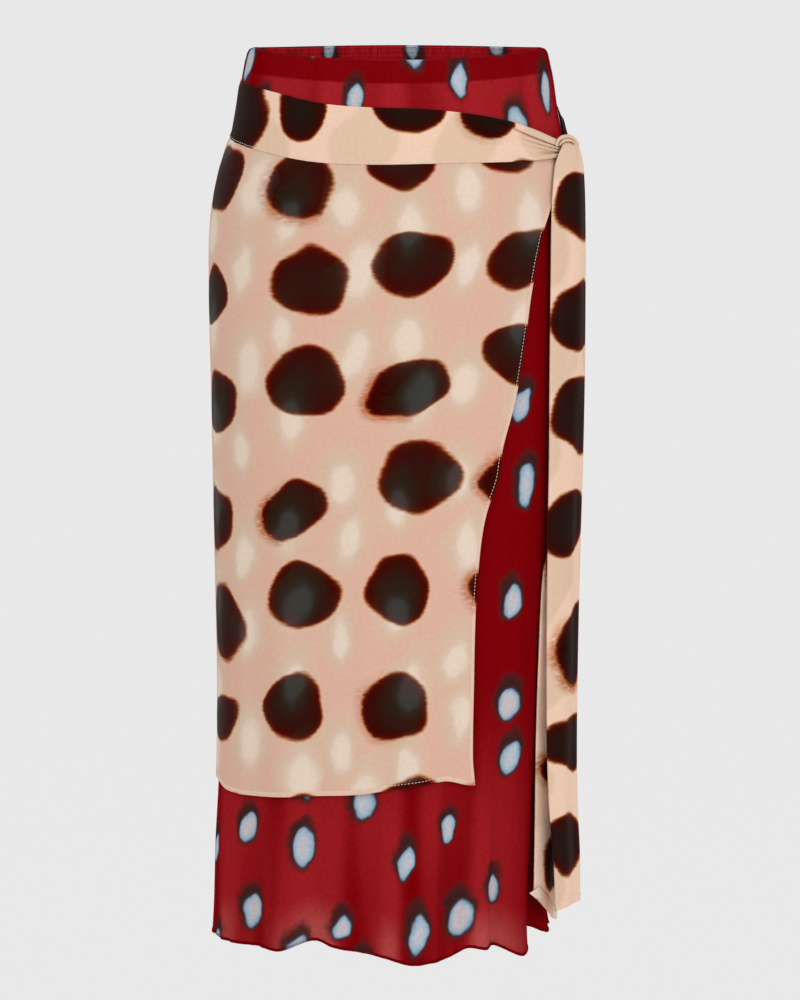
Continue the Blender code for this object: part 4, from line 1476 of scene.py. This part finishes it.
folds = [add_roll("hood_fold", HOOD), add_roll("inner_fold", INNER_FOLD)]
print(len(folds), "rolled folds")

# %% One knot of them all
# The print runs over the knot as it is seen from ahead. This stretch of it is plain peach.
KNOT_SLIDE = (0.0, 0.05)
KNOT_FROM_EDGES = 0.05

bpy.ops.object.select_all(action="DESELECT")
for piece in (*folds, knot):
    piece.select_set(True)
bpy.context.view_layer.objects.active = knot
bpy.ops.object.join()
for layer in list(knot.data.uv_layers):
    knot.data.uv_layers.remove(layer)
corners = np.empty(len(knot.data.loops), np.int32)
knot.data.loops.foreach_get("vertex_index", corners)
where = vertex_places(knot.data)
knot_print = np.stack((where[:, 0] + KNOT_SLIDE[0], -where[:, 2] + KNOT_SLIDE[1]), axis=-1)
from_edges = np.full(knot_print.shape, KNOT_FROM_EDGES)
add_layers(knot.data, corners, Cloth(where, knot_print, from_edges))
knot.data.materials.clear()
knot.data.materials.append(peach_chiffon)
knot.data.shade_smooth()
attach(knot, "root")
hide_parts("knot")
print("knot", [round(side / MM, 1) for side in knot.dimensions], "mm")

# %% [markdown]
# ## Turned hems
#
# Chiffon frays, so every free edge is turned twice and sewn. The underskirt's is rolled as narrow
# as the machine can, under 3 mm, which makes a dark cord along the flutes. The wrap panel's is
# turned flat, 5 mm wide: there the cloth is three layers thick, nothing shows through, and it
# reads as a paler band. Each hem is a closed section that rides along the edge of its cloth, on
# both faces.

# %% Lines along an edge
NEARBY = 0.002


def cloth_frame(rule, a, b):
    """Points of a cloth, with unit directions across, down and out of it."""
    ahead, behind = np.minimum(a + NEARBY, 1), np.maximum(a - NEARBY, 0)
    below, above = np.minimum(b + NEARBY, 1), np.maximum(b - NEARBY, 0)
    across = unit(rule(ahead, b).points - rule(behind, b).points)
    down = unit(rule(a, below).points - rule(a, above).points)
    return rule(a, b), across, down, unit(np.cross(down, across))


def edge_line(rule, side, inset, count, start, end):
    """A line along one side of a cloth, this many millimetres in from it: the cloth there, the way
    out past the edge, and the way out of the cloth."""
    along = np.linspace(start, end, count)
    far, inwards = (np.zeros(count), 1) if side == "left" else (np.ones(count), -1)

    def shares(far):
        return (along, far) if side == "bottom" else (far, along)

    step = rule(*shares(far)).points - rule(*shares(far + inwards * NEARBY)).points
    length = np.linalg.norm(step, axis=-1) / NEARBY
    cloth, across, down, out = cloth_frame(rule, *shares(far + inwards * inset / length))
    return cloth, {"bottom": down, "right": across, "left": -across}[side], out


hem_points = edge_line(RULES["red_front"], "bottom", 0.0, 181, 0, 1)[0].points
hem_length = np.linalg.norm(np.diff(hem_points, axis=0), axis=-1).sum()
print("the red hem runs", round(hem_length), "mm over the front")

# %% Hems and seams
FOLD_STEP = 0.4
Hem = namedtuple("Hem", "width thick wall count finish")
ROLLED = Hem(2.4, 0.55, CHIFFON_WALL, 361, rolled_red)
TURNED = Hem(4.5, 0.25, CHIFFON_WALL, 241, turned_peach)
FREE_EDGE = TURNED._replace(width=3.0)
TAIL_END = Hem(7.0, 0.375, TAIL_WALL, 61, peach_chiffon)
BACK_TAIL_END = Hem(3.0, 0.25, TAIL_WALL, 61, turned_peach)
# A French seam makes a narrow raised line down each side.
SEAM = Hem(2.0, 0.3, CHIFFON_WALL, 161, red_chiffon)
PEACH_SEAM = SEAM._replace(finish=turned_peach)
HEMS = table(
    "name cloth side kind start end",
    ("red_hem_front", "red_front", "bottom", ROLLED, 0.0, 1.0),
    ("red_hem_back", "red_back", "bottom", ROLLED, 0.0, 1.0),
    ("peach_hem_front", "peach_front", "bottom", TURNED, 0.0, 1.0),
    ("peach_hem_back", "peach_back", "bottom", TURNED, 0.0, 1.0),
    ("wrap_edge_hem", "peach_front", "right", FREE_EDGE, 0.01, 1.0),
    ("back_edge_hem", "peach_back", "left", FREE_EDGE, 0.01, 1.0),
    ("front_tail_hem", "tail_front_cloth", "bottom", TAIL_END, 0.0, 1.0),
    ("back_tail_hem", "tail_back_cloth", "bottom", BACK_TAIL_END, 0.0, 1.0),
    ("red_seam_right", "red_front", "left", SEAM, 0.01, 0.995),
    ("red_seam_left", "red_front", "right", SEAM, 0.01, 0.995),
    ("panel_seam", "peach_front", "left", PEACH_SEAM, 0.01, 0.995),
)


def hem_section(width, thick, wall):
    """A hem's section: from the inner edge of its outer face, round the cloth's edge and back
    inside. Each point is how far it lies past the edge, and how far out of the cloth."""
    return (
        (-width, 0.02),
        (-width + FOLD_STEP, thick),
        (-width / 2, thick * 1.15),
        (-FOLD_STEP, thick * 1.1),
        (thick * 0.9, thick * 0.2),
        (thick * 1.1, -wall / 2),
        (thick * 0.9, -wall - thick * 0.2),
        (-FOLD_STEP, -wall - thick * 1.1),
        (-width / 2, -wall - thick * 1.15),
        (-width + FOLD_STEP, -wall - thick),
        (-width, -wall - 0.02),
    )


def add_hem(name, rule, side, kind, start, end):
    """A turned hem over one side of a cloth, closed at both ends."""
    section = hem_section(kind.width, kind.thick, kind.wall)
    lines = []
    for reach, height in section:
        cloth, past, out = edge_line(rule, side, max(-reach, 0.0), kind.count, start, end)
        points = cloth.points + past * max(reach, 0.0) + out * height
        lines.append(Cloth(points, cloth.print, cloth.edges))
    cloth = Cloth(*(np.stack(part) for part in zip(*lines)))
    piece = add_grid(name, cloth, kind.finish, closed=True)
    bpy.ops.object.select_all(action="DESELECT")
    piece.select_set(True)
    bpy.context.view_layer.objects.active = piece
    bpy.ops.object.mode_set(mode="EDIT")
    bpy.ops.mesh.select_all(action="SELECT")
    bpy.ops.mesh.fill_holes(sides=len(section))
    bpy.ops.mesh.select_all(action="SELECT")
    bpy.ops.mesh.normals_make_consistent(inside=False)
    bpy.ops.object.mode_set(mode="OBJECT")
    piece.data.shade_smooth()
    return piece


for hem in HEMS:
    piece = add_hem(hem.name, RULES[hem.cloth], hem.side, hem.kind, hem.start, hem.end)
print(len(HEMS), "hems and seams")

# %% [markdown]
# ## Stitches
#
# Rows of lock stitches hold the hems and the sash. The thread is peach all over, so it vanishes
# on the ground and shows as a fine dashed line on the brown spots. One stitch is modelled, a
# small sphere drawn out to 2.4 mm, and copied along each line, half sunk in the cloth.

# %% One stitch
STITCH_PITCH = 3.3
STITCH_SIZE = (0.32, 0.6, 2.4)

bpy.ops.object.select_all(action="DESELECT")
bpy.ops.mesh.primitive_uv_sphere_add(segments=6, ring_count=4, radius=0.5, location=(0, 0, 0))
one_stitch = bpy.context.object
bpy.ops.object.mode_set(mode="EDIT")
bpy.ops.mesh.select_all(action="SELECT")
bpy.ops.transform.resize(value=STITCH_SIZE)
bpy.ops.object.mode_set(mode="OBJECT")
stitch_points = np.array([vertex.co for vertex in one_stitch.data.vertices])
stitch_faces = [list(face.vertices) for face in one_stitch.data.polygons]
bpy.data.objects.remove(one_stitch)
print("a stitch of", len(stitch_faces), "faces")

# %% Rows of stitches
EDGE_POINTS = 700
CASING_POINTS = 900
CASING_PROUD = 0.15
LOOK_AHEAD = 0.5


def add_stitches(name, lines, thread):
    """One piece of stitches along several lines, each a row of points and the ways out there."""
    placed = []
    for points, out in lines:
        steps = np.linalg.norm(np.diff(points, axis=0), axis=-1)
        far = np.concatenate(([0.0], np.cumsum(steps)))
        at = np.arange(STITCH_PITCH, far[-1] - STITCH_PITCH, STITCH_PITCH)
        middle, next_to, normal = (
            np.stack([np.interp(where, far, values[:, i]) for i in range(3)], axis=-1)
            for where, values in ((at, points), (at + LOOK_AHEAD, points), (at, out))
        )
        ahead = unit(next_to - middle)
        side = unit(np.cross(normal, ahead))
        axes = (np.cross(ahead, side), side, ahead)
        parts = (stitch_points[:, i][None, :, None] * axis[:, None] for i, axis in enumerate(axes))
        placed.append(sum(parts, middle[:, None]))
    points = np.concatenate(placed)
    starts = range(0, len(points) * len(stitch_points), len(stitch_points))
    faces = [[start + corner for corner in face] for start in starts for face in stitch_faces]
    add_mesh(name, points, faces, thread)
    print(name, len(points), "stitches")


def edge_stitches(cloth, side, inset, height, start, end):
    """Where a row of stitches runs: this far in from a cloth's side, this high above it."""
    cloth, _, out = edge_line(RULES[cloth], side, inset, EDGE_POINTS, start, end)
    return cloth.points + out * height, out


def casing_stitches(cloth, share):
    """A row of stitches round the casing's inner face, this share of the way down it."""
    across = np.linspace(0.004, 0.996, CASING_POINTS)
    cloth, _, _, out = cloth_frame(RULES[cloth], across, np.full(CASING_POINTS, share))
    return cloth.points + out * CASING_PROUD, out


PROUD = TURNED.thick * 1.2
# The cloth, its side, how far in from that and how high above it, and the shares it runs between.
PANEL_ROWS = (
    ("peach_front", "bottom", 3.6, PROUD, 0.0, 0.985),
    ("peach_back", "bottom", 3.6, PROUD, 0.015, 1.0),
    ("peach_front", "right", 2.2, PROUD, 0.01, 1.0),
    ("peach_back", "left", 2.2, PROUD, 0.01, 1.0),
)
SASH_ROWS = (
    ("sash_front_cloth", "bottom", 1.6, 0.1, 0.0, 0.97),
    ("sash_back_cloth", "bottom", 1.6, 0.1, 0.03, 1.0),
)
CASING_SHARES = (0.10, 0.90)
CASING_ROWS = [(f"casing_inside_{half}", share) for half, *_ in HALVES for share in CASING_SHARES]
for name, rows, run, thread in (
    ("panel_stitches", PANEL_ROWS, edge_stitches, peach_thread),
    ("sash_stitches", SASH_ROWS, edge_stitches, peach_thread),
    ("waist_stitches", CASING_ROWS, casing_stitches, red_thread),
):
    add_stitches(name, [run(*row) for row in rows], thread)
